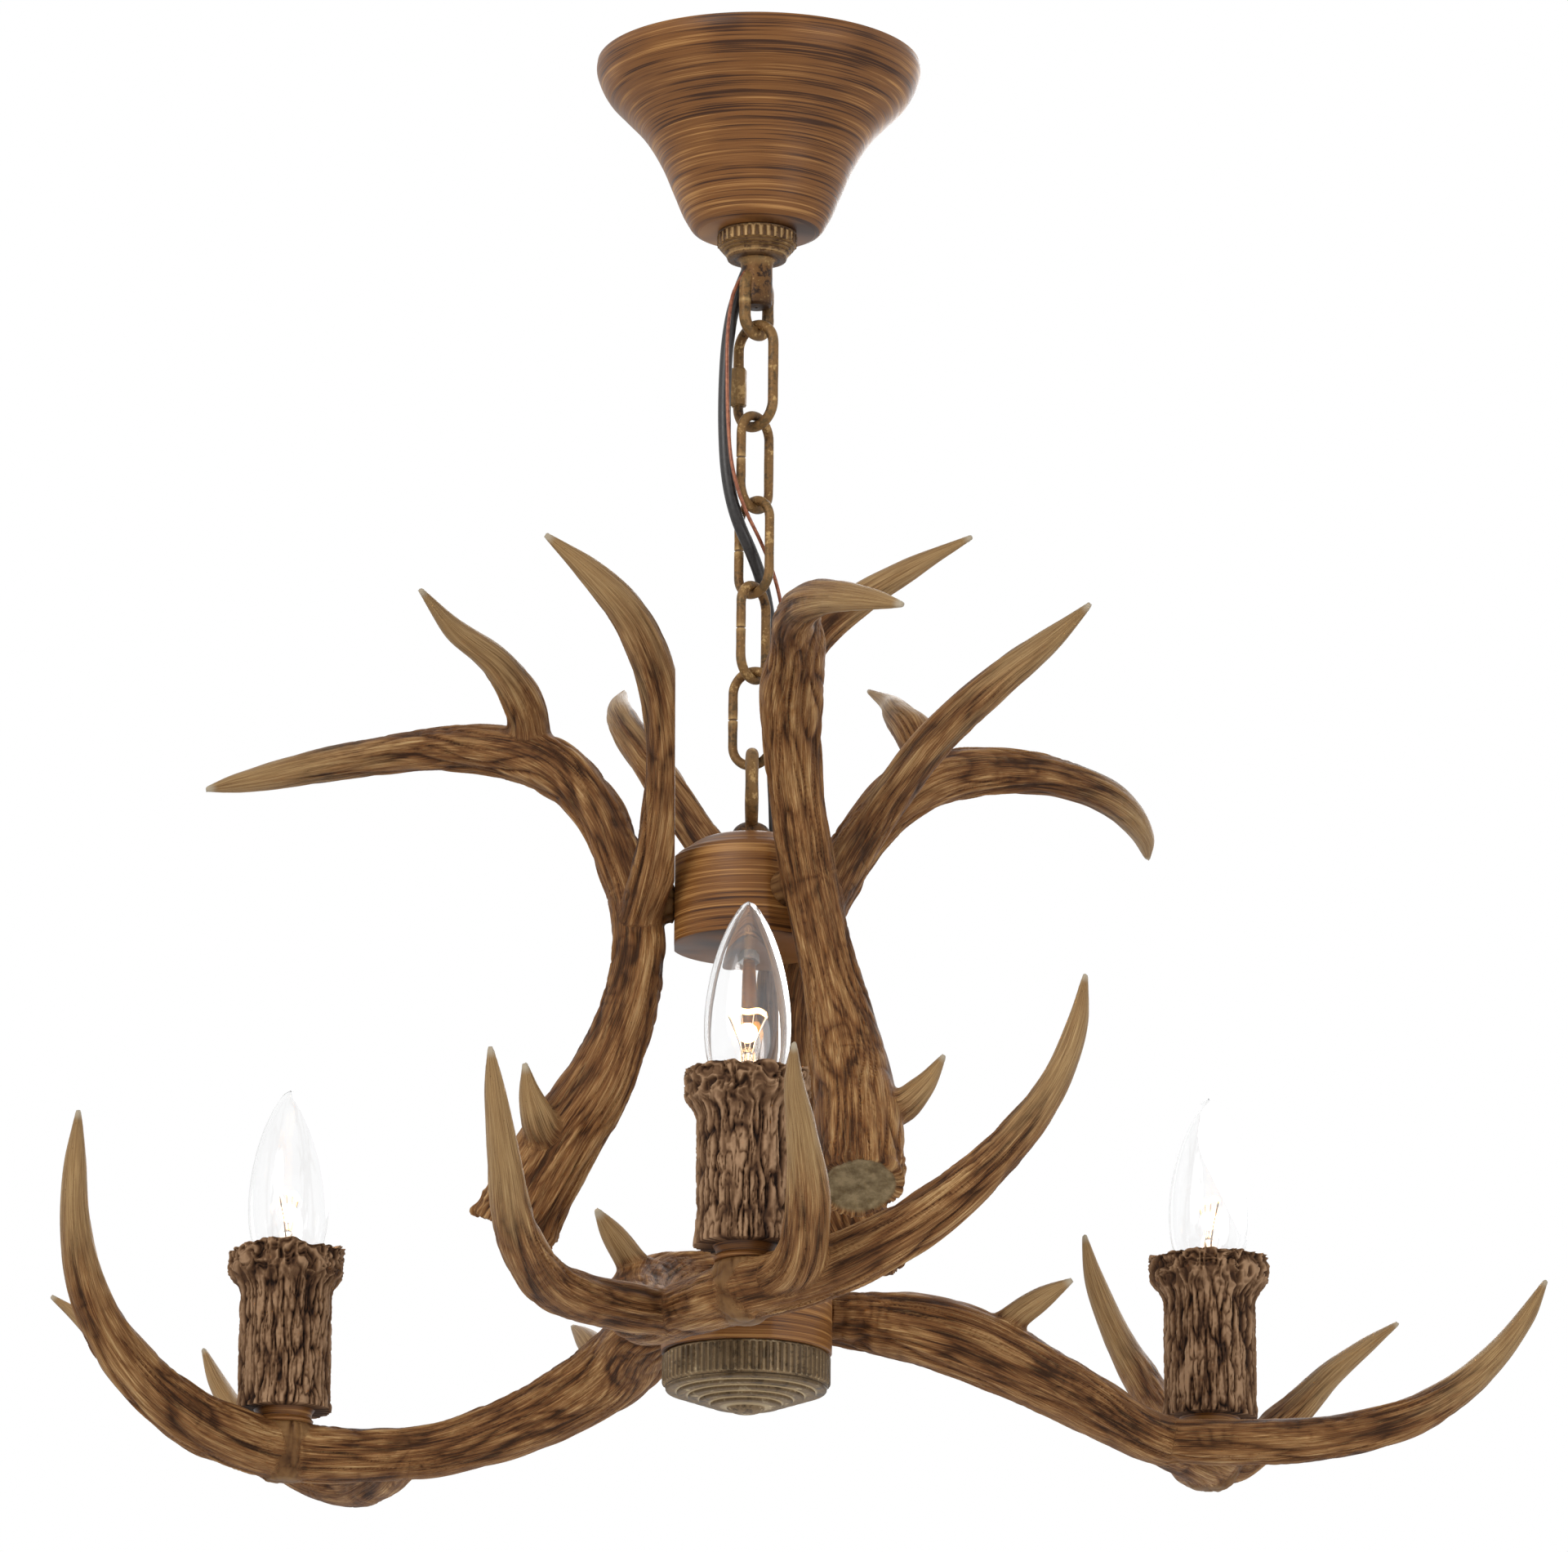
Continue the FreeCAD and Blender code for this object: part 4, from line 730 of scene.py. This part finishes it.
def oval_line(length, width, wire, top, gap_at, gap):
    """Open line of an oval link, which starts and ends at the joint in its left leg."""
    bend = (width - wire) / 2
    high, low = top - wire / 2 - bend, top - length + wire / 2 + bend
    half = np.linspace(-pi / 2, pi / 2, 25)
    up = [(bend * sin(a), 0, high + bend * cos(a)) for a in half]
    down = [(-bend * sin(a), 0, low - bend * cos(a)) for a in half]
    start = [(-bend, 0, z) for z in np.linspace(gap_at + gap / 2, high, 8)[:-1]]
    right = [(bend, 0, z) for z in np.linspace(high, low, 12)[1:-1]]
    end = [(-bend, 0, z) for z in np.linspace(low, gap_at - gap / 2, 8)[1:]]
    return np.array(start + up + right + down + end)


def hammered(count, seed):
    """Small changes of a wire's thickness along it."""
    return 1 + 0.035 * noise(np.arange(count) / 3.0, np.full(count, seed), np.zeros(count))


def chain():
    """The quick link with its sleeve nut, and the oval links below it."""
    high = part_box("quick_link")[1][2] / MM
    length, width, wire = 48.8, 24.0, 4.4
    gap_low = high - length + width / 2 + wire / 4
    line = oval_line(length, width, wire, high, gap_low + 3.0, 6.0)
    thing = tube("quick_link_wire", line, wire / 2 * hammered(len(line), 2.0), 28)
    turn(thing, QUICK_LINK_HEADING)
    finished(thing, AGED, "quick_link", ["quick_link"], "aged_metal")
    low, high = box_of("quick_link_sleeve")
    leg, reach = -(width - wire) / 2, 3.7
    corners, faces = [], []
    for z, r in (
            (low.z, 2.3), (low.z, 3.1), (low.z + 0.7, reach), (high.z - 0.7, reach), (high.z, 3.1),
            (high.z, 2.3)):
        corners += [(leg + r * cos(a), r * sin(a), z) for a in np.arange(6) * pi / 3]
    nut = mesh_object("sleeve_nut", corners, grid_faces(6, 6, True), 20)
    bevel = nut.modifiers.new("edge", "BEVEL")
    bevel.width = 0.35 * MM
    bevel.segments = 3
    bevel.limit_method = "ANGLE"
    bevel.angle_limit = radians(35)
    bevel.harden_normals = True
    turn(nut, QUICK_LINK_HEADING)
    finished(nut, AGED, "quick_sleeve", ["quick_link_sleeve"], "aged_metal")
    for number, heading in enumerate(LINK_HEADINGS, 1):
        low, high = box_of("chain_link_%d" % number)
        line = oval_line(high.z - low.z, 22.0, 4.0, high.z, (high.z + low.z) / 2, 0.8)
        thing = tube("chain_link_%d_wire" % number, line, 2.0 * hammered(len(line), 5.0 * number), 28)
        turn(thing, heading)
        finished(thing, AGED, "link_%d" % number, ["chain_link_%d" % number], "aged_metal")


# ---- hubs and finial ----
def hub_cup(node, outline, seat, first):
    """Turned cup, pressed flat where its three antlers sit."""
    cup = lathe(node + "_cup", outline, 180)
    for corner in cup.data.vertices:
        for arm in range(3):
            angle = radians(first + 120 * arm)
            out = Vector((cos(angle), sin(angle), 0))
            past = corner.co.dot(out) - seat * MM
            if past > 0:
                corner.co -= out * past
    finished(cup, PAINT, "fixture", [node], "hub_bronze")


def hubs():
    low, high = box_of("upper_hub")
    r, rise = HUB_RADII["upper_hub"], high.z
    outline = [(HUB_BORE, low.z), (r - 1.6, low.z), (r - 0.5, low.z + 0.4), (r, low.z + 1.4), (r, rise - 0.6),
        (r - 0.5, rise), (r - 4.5, rise), (r - 4.5, low.z + HUB_WALL), (HUB_BORE, low.z + HUB_WALL)]
    hub_cup("upper_hub", outline, UPPER_SEAT[0], UPPER_FIRST_AZIMUTH)
    _, high = box_of("upper_hub_cover")
    top, edge = high.z, r - 1.5
    outline = eased([(17.0, top), (22.0, top - 1.6), (edge - 3.0, rise + 3.0), (edge - 0.4, rise + 1.2),
        (edge, rise)], 5)
    outline += [(edge - 4.0, rise), (16.0, top - 1.6), (HUB_BORE, top - 1.6), (HUB_BORE, top)]
    finished(lathe("upper_hub_lid", outline, 140), PAINT, "fixture", ["upper_hub_cover"], "hub_bronze")
    low, high = box_of("lower_hub")
    r, rise = HUB_RADII["lower_hub"], high.z
    outline = [(HUB_BORE, rise), (r - 4.0, rise)]
    outline += [(r - 4 + 4 * sin(a), rise - 4 + 4 * cos(a)) for a in np.linspace(0.2, pi / 2, 6)]
    outline += [(r, low.z + 0.5), (r - 0.5, low.z), (r - 4.5, low.z), (r - 4.5, rise - HUB_WALL),
        (HUB_BORE, rise - HUB_WALL)]
    hub_cup("lower_hub", outline, LOWER_SEAT[0], LOWER_FIRST_AZIMUTH)


def hub_ring():
    low, high = box_of("hub_ring")
    wire, radius, foot_radius = 5.5, 15.25, 8.0
    centre = high.z - wire / 2 - radius
    foot_top = centre - 18.0 + wire - 1.0
    foot_low = foot_top - 8.0
    dome = [(foot_radius * sin(a), foot_low + 2.4 + 5.6 * cos(a)) for a in np.linspace(0.02, pi / 2, 12)]
    foot = lathe("foot", dome + [(foot_radius, foot_low + 0.4), (foot_radius - 0.4, foot_low),
        (TUBE_RADIUS, foot_low), (TUBE_RADIUS, low.z), (0.01, low.z)], 64)
    angles = np.arange(96) * 2 * pi / 96
    line = np.stack([radius * np.sin(angles), 0 * angles, centre + radius * np.cos(angles)], axis=1)
    ring = tube("ring", line, wire / 2 * (1 + 0.03 * np.sin(5 * angles)), 28, True)
    turn(ring, HUB_RING_HEADING)
    finished(joined("hub_ring_cast", [foot, ring]), AGED, "fixture", ["hub_ring"], "aged_metal")


def centre_tube():
    low, high = box_of("centre_tube")
    outline = [(3.5, high.z), (TUBE_RADIUS, high.z), (TUBE_RADIUS, low.z), (3.5, low.z)]
    finished(lathe("centre_tube_drawn", outline, 64), PAINT, "fixture", ["centre_tube"], "hub_bronze")


def finial():
    low, high = box_of("finial_band")
    r, hub, bore = 34.5, 8.75, 4.83
    top, bottom = high.z, low.z
    outline = [
        (r - 1.6, top), (r - 1.2, top - 0.5), (r - 1.2, top - 1.0), (r - 0.2, top - 1.3), (r, top - 1.8),
        (r, bottom + 1.8), (r - 0.2, bottom + 1.3), (r - 1.2, bottom + 1.0), (r - 1.2, bottom + 0.3),
        (r - 1.6, bottom), (bore, bottom), (bore, top - 3.0), (hub, top - 3.0), (hub, bottom + 4.0),
        (r - 6.0, bottom + 4.0), (r - 6.0, top),
    ]
    band = lathe("finial_band_ribbed", outline, teeth=72, depth=0.9,
        ribbed=lambda reach, z: reach > r - 0.3 and bottom + 1.2 < z < top - 1.2)
    finished(band, BRONZE, "finial", ["finial_band"], "hub_bronze")
    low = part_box("finial_cap")[0][2] / MM
    outline = [(0.01, bottom)]
    for step in range(5):
        edge, level = r - 1.5 - 4.6 * step, bottom - 1.6 * step
        outline += [(edge - 0.1, level - 0.15), (edge, level - 0.5), (edge, level - 1.0),
            (edge - 0.35, level - 1.45), (edge - 0.9, level - 1.6), (edge - 3.4, level - 1.6),
            (edge - 4.2, level - 1.5)]
    button = bottom - 8.0
    outline += [(8.0 * cos(a), button - (button - low) * sin(a)) for a in np.linspace(0.05, 1.55, 9)]
    outline += [(0.01, low)]
    cap = lathe("finial_cap_stepped", outline, 128, crease=28)
    finished(cap, BRONZE, "finial", ["finial_cap"], "hub_bronze")


# ---- lamps ----
def sleeve_mesh(name, seed):
    """Bark-like sleeve about the Z axis: cracked sides, a lumpy overhanging crown and an open bore."""
    low, tall = SLEEVE_LOW, SLEEVE_TOP - SLEEVE_LOW
    sides, rows = int(320 * FINE), int(170 * FINE)
    angles = np.arange(sides) * 2 * pi / sides
    share = np.concatenate([np.linspace(0, 1, rows), np.ones(9), np.linspace(1, 0.045, 30)])
    inward = np.concatenate([np.zeros(rows), np.linspace(0.1, 1, 9), np.ones(30)])
    row, angle = np.repeat(np.arange(len(share)), sides), np.tile(angles, len(share))
    z, pull = share[row], inward[row]
    around = circle(angle)
    crown = smoothstep(0.70, 0.86, z)
    body = 18.8 + 0.8 * smoothstep(0.12, 0.0, z)
    body = body + 0.5 * np.sin(3 * angle + seed) + 0.4 * np.cos(5 * angle + 2 * seed)
    body = body + crown * (4.3 + 1.5 * noise(around * 2.4, z * 5 + seed))
    height = z * tall
    curl = crown * 1.3 + 0.25
    wander = 0.10 * curl * noise(around * 7.0, height / 5 + seed)
    shifted = circle(angle + wander)
    level = height + 3.0 * crown * noise(around * 8.0, height / 4 + 2 + seed)
    crumb = noise(shifted * 24.0, level / 1.2 + 4 + seed)
    curls = 0.60 * furrow(2.2, shifted * 8.0, level / 4.2 + seed)
    curls += 0.40 * furrow(1.8, shifted * 15.0, level / 1.8 + 9 + seed)
    sides_tone = 1 - 0.70 * furrow(5, shifted * 9.0, level / 15 + seed)
    sides_tone -= 0.45 * furrow(5, shifted * 16.0, level / 7 + 9 + seed)
    tone = np.clip(sides_tone * (1 - crown) + crown * (0.12 + 1.05 * curls) + 0.12 * crumb, 0, 1)
    outer = body + 2.3 * (tone - 0.62 + 0.12 * crown) * (1 + 0.5 * crown)
    inner = 16.6 + 0.15 * noise(around * 3, height / 9)
    radius = outer * (1 - pull) + inner * pull
    jagged = crown * (1.6 * noise(around * 3.2, np.full(len(z), seed)) - 1.4
        + 0.9 * noise(around * 9.0, pull * 2 + seed))
    lift = np.where(z > 0.95, jagged * smoothstep(0.95, 1.0, z), 0)
    corners = np.column_stack([around * radius[:, None], low + height + lift])
    extra = np.concatenate([ring_of(SLEEVE_BORE, angles, level) for level in (low + 0.045 * tall, low)])
    thing = mesh_object(name, np.concatenate([corners, extra]), grid_faces(len(share) + 2, sides, True), 60)
    # Painted shade: the crown's fold into the bore is darkened, and the bore's floor rings get a dark tone, as
    # shade inside the sleeve.
    depth = np.concatenate([tone * (1 - 0.45 * pull), np.full(len(extra), 0.2)])
    keep(thing.data, "tone", depth)
    return thing


def threaded_base(name):
    """Screw shell with its rolled thread, insulator and centre contact."""
    low, top = BASE_LOW, GLASS_LOW
    sides, rows = 72, 90
    angles = np.arange(sides) * 2 * pi / sides
    levels = np.linspace(low + 2.0, top - 3.0, rows)
    corners = []
    for z in levels:
        fade = smoothstep(0, 1.5, min(z - levels[0], levels[-1] - z))
        r = 6.6 + 0.38 * fade * np.sin(2 * pi * z / 2.8 - angles)
        corners.append(ring_of(r, angles, z))
    ends = [(6.6, top - 2.0), (6.9, top - 0.4), (6.9, top), (5.6, top), (5.6, low + 3.0), (0.01, low + 3.0),
        (0.01, low - 3.0), (1.8, low - 3.0), (2.5, low - 2.2), (2.5, low - 1.2), (4.4, low - 0.9), (5.6, low)]
    corners += [ring_of(r, angles, z) for r, z in ends]
    return mesh_object(name, np.concatenate(corners), grid_faces(rows + len(ends), sides, True), 40)


def flame_glass(name):
    """Flame-shaped envelope with a thin wall, open at its neck."""
    low, tall, wall = GLASS_LOW, 82.0, 0.9
    curve = [(6.9, 0.0), (8.6, 0.03), (12.4, 0.11), (15.6, 0.22), (16.9, 0.34), (16.8, 0.45), (15.5, 0.58),
        (12.9, 0.72), (9.4, 0.84), (5.6, 0.93), (2.6, 0.98), (0.01, 1.0)]
    outside = eased([(r, low + share * tall) for r, share in curve], 5)
    inside = eased([(max(r - wall, 0.01), low + 0.1 + share * (tall - wall)) for r, share in curve], 5)
    return lathe(name, [(max(r, 0.01), z) for r, z in outside + inside[::-1]], crease=60)


def bulb_inside(name):
    """Flared glass stem, two leads that open in a V, two fine supports and the coiled filament."""
    top, low, span = GLASS_LOW + 22.0, GLASS_LOW + 3.0, 7.5
    flare = eased([(5.6, low), (4.4, low + 4.0), (2.6, low + 8.0), (2.2, top - 4.0), (1.4, top - 0.4),
        (0.01, top)], 4)
    stem = lathe(name + "_stem", [(0.01, low)] + [(max(r, 0.01), z) for r, z in flare], 40, crease=60)
    pieces = []
    for way in (-1, 1):
        bend = np.array([(way * 1.2, 0, top - 8.0), (way * 1.5, 0, top - 3.0), (way * 3.2, 0, top + 4.0),
            (way * span, 0, FILAMENT_LEVEL)])
        pieces.append(tube(name + "_lead", bend, 0.32, 10))
        prop = np.array([(way * 0.5, 0.6, top - 1.0), (way * 1.4, 0.8, top + 5.0),
            (way * 2.4, 0.4, FILAMENT_LEVEL + 1.4)])
        pieces.append(tube(name + "_prop", prop, 0.16, 8))
    turns = np.linspace(0, 1, 420)
    droop = 2.2 * np.sin(pi * turns) + 0.7 * np.sin(3 * pi * turns)
    coil = np.column_stack([span * (2 * turns - 1), 0.9 * np.cos(44 * pi * turns),
        FILAMENT_LEVEL + droop + 0.9 * np.sin(44 * pi * turns)])
    leads, filament = joined(name + "_leads", pieces), tube(name + "_filament", coil, 0.3, 6)
    turn(leads, FILAMENT_HEADING)
    turn(filament, FILAMENT_HEADING)
    return stem, leads, filament


def lamps():
    plate = [(r, LAMP_SEAT + rise) for r, rise in ((3.4, 0.0), (11.0, 0.0), (12.0, 0.6), (12.4, 1.8),
        (11.4, 3.0), (11.8, 5.0), (12.9, 6.5), (4.8, 6.5), (4.8, 9.5), (3.4, 9.5))]
    foot = LAMP_SEAT - 23.0
    post = [(3.4, LAMP_SEAT), (4.8, LAMP_SEAT), (4.8, foot), (3.4, foot)]
    holder = [(0.01, HOLDER_LOW), (12.6, HOLDER_LOW), (13.0, HOLDER_LOW + 0.4), (13.0, HOLDER_TOP - 2.0),
        (12.4, HOLDER_TOP - 0.6), (11.5, HOLDER_TOP), (8.3, HOLDER_TOP), (7.4, HOLDER_TOP - 1.0),
        (7.4, HOLDER_LOW + 27.5), (0.01, HOLDER_LOW + 27.5)]
    for arm, letter in enumerate(ARMS):
        azimuth = LOWER_FIRST_AZIMUTH + 120 * arm
        spin = Matrix.Rotation(radians(azimuth), 4, "Z") @ Matrix.Translation((LAMP_AXIS * MM, 0, 0))

        def put(thing, *facts):
            thing.data.transform(spin)
            finished(thing, *facts)

        seat = joined("lamp_post_%s_turned" % letter, [lathe("plate", plate, 72), lathe("post", post, 40)])
        put(seat, PAINT, "fixture", ["lamp_post_" + letter], "hub_bronze")
        put(sleeve_mesh("candle_sleeve_%s_bark" % letter, 3.7 * arm + 1.0), BARK, "fixture",
            ["candle_sleeve_" + letter], "bark")
        put(lathe("lampholder_%s_moulded" % letter, holder, 64), PHENOLIC, "fixture",
            ["lampholder_" + letter], "phenolic")
        body = "bulb_" + letter
        put(threaded_base("bulb_base_%s_shell" % letter), BRASS, body, ["bulb_base_" + letter], "base_brass")
        put(flame_glass("bulb_glass_%s_flame" % letter), GLASS, body, ["bulb_glass_" + letter], "bulb_glass")
        stem, leads, filament = bulb_inside("bulb_%s" % letter)
        put(stem, STEM_GLASS, body, ["bulb_stem_" + letter], "filament")
        put(leads, LEAD, body, [], "filament")
        put(filament, FILAMENT, body, [], "filament")
        lamp = bpy.data.lights.new("bulb_light_" + letter, "POINT")
        lamp.energy, lamp.color, lamp.shadow_soft_size = LIGHT_ENERGY, (1.0, 0.60, 0.28), 0.004
        light = linked(lamp.name, lamp)
        light.matrix_world = spin @ Matrix.Translation((0, 0, LIGHT_LEVEL * MM))
        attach(light, body)


# ---- supply cord and ground wire ----
def smooth_route(route):
    """Places in metres along the smooth line that the route's points draw."""
    curve = bpy.data.curves.new("route", "CURVE")
    curve.dimensions = "3D"
    spline = curve.splines.new("NURBS")
    spline.points.add(len(route) - 1)
    for point, place in zip(spline.points, route):
        point.co = (place[0] * MM, place[1] * MM, (CANOPY_FOOT + place[2]) * MM, 1.0)
    spline.order_u = 3
    spline.use_endpoint_u = True
    spline.resolution_u = 12
    holder = bpy.data.objects.new("route", curve)
    mesh = bpy.data.meshes.new_from_object(holder)
    line = corners_of(mesh)
    bpy.data.objects.remove(holder)
    bpy.data.curves.remove(curve)
    return line


def hung_cord(name, node, route, diameter, stuff):
    """Cord cut into a stretch for each joint of the chain."""
    line = smooth_route(route) / MM
    levels = [line[0][2]]
    for body in CHAIN_BODIES[1:-1]:
        link = "chain_" + body if body.startswith("link") else body
        low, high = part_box(link)
        levels.append((low[2] + high[2]) / 2 / MM)
    levels.append(line[-1][2])
    cuts = [int(np.abs(line[:, 2] - level).argmin()) for level in levels]
    for k, (first, last) in enumerate(zip(cuts, cuts[1:])):
        piece = tube("%s_%d" % (name, k + 1), line[first:last + 1], diameter / 2, 20)
        piece.data.materials.append(stuff)
        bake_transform(piece)
        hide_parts(node)


# ---- stage ----
def stage():
    scene = bpy.context.scene
    camera = linked("camera", bpy.data.cameras.new("camera"))
    camera.data.lens = CAMERA_LENS
    camera.data.sensor_width = 36.0
    camera.data.clip_end = 50.0
    tilt = Matrix.Rotation(radians(90 + CAMERA_PITCH), 4, "X")
    roll = Matrix.Rotation(radians(CAMERA_ROLL), 4, "Z")
    camera.matrix_world = Matrix.Translation(CAMERA_PLACE) @ tilt @ roll
    scene.camera = camera

    for label, place, size, energy, colour in (
            ("key", (-1.7, -2.6, 0.9), 1.6, 46.0, (1.0, 0.985, 0.96)),
            ("fill", (2.3, -2.2, -0.6), 1.8, 22.0, (0.97, 0.985, 1.0)),
            ("back", (0.6, 2.4, 0.8), 1.6, 24.0, (1.0, 1.0, 1.0))):
        lamp = bpy.data.lights.new(label, "AREA")
        lamp.shape, lamp.size, lamp.energy, lamp.color = "DISK", size, energy, colour
        holder = linked(label, lamp)
        holder.location = place
        holder.rotation_euler = (Vector((0, 0, -0.35)) - Vector(place)).to_track_quat("-Z", "Y").to_euler()

    corners = [(x * FLOOR_REACH, y * FLOOR_REACH, FLOOR_LEVEL / MM)
        for x, y in ((-1, -1), (1, -1), (1, 1), (-1, 1))]
    floor = mesh_object("floor", corners, [(0, 1, 2, 3)])
    pale = Surface("pale_floor", 0.9, specular=0.1)
    pale.feed({"Base Color": (0.93, 0.93, 0.93)})
    both = pale.add("MixShader", {0: pale.add("NewGeometry", output="Backfacing"),
        1: pale.shader.outputs[0], 2: pale.add("BsdfTransparent")})
    pale.link(both, pale.tree.nodes["Material Output"].inputs["Surface"])
    floor.data.materials.append(pale.stuff)

    world = bpy.data.worlds.new("studio")
    scene.world = world
    world.use_nodes = True
    sky = Nodes(world.node_tree)
    rays = sky.tree.nodes.new("ShaderNodeLightPath").outputs
    seen = sky.maths("MAXIMUM", rays["Is Camera Ray"],
        sky.maths("MAXIMUM", rays["Is Glossy Ray"], rays["Is Transmission Ray"]))
    backing = sky.tree.nodes["Background"].inputs
    sky.link((1.0, 1.0, 1.0), backing["Color"])
    sky.link(sky.maths("ADD", SKY_LIGHT, sky.maths("MULTIPLY", seen, 1 - SKY_LIGHT)), backing["Strength"])
    scene.view_settings.view_transform = "Standard"


def dress_kept_nodes():
    """The hidden plate, nuts and screws keep their own shape and get plated steel."""
    for name in ("ceiling_bracket", "nipple_locknut", "threaded_nipple", "tube_nuts", "upper_antler_screws",
            "lower_antler_screws"):
        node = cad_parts[name]
        if not node.material_slots:
            node.data.materials.append(STEEL)
        for held in node.material_slots:
            held.link = "OBJECT"
            held.material = STEEL


stage()
canopy()
collar()
canopy_loop()
chain()
hubs()
hub_ring()
centre_tube()
finial()
lamps()
antlers()
hung_cord("supply_cord_cover", "supply_cord", CORD_ROUTE, CORD_DIAMETER, COVER)
hung_cord("ground_wire_cover", "ground_wire", WIRE_ROUTE, WIRE_DIAMETER, COPPER)
dress_kept_nodes()
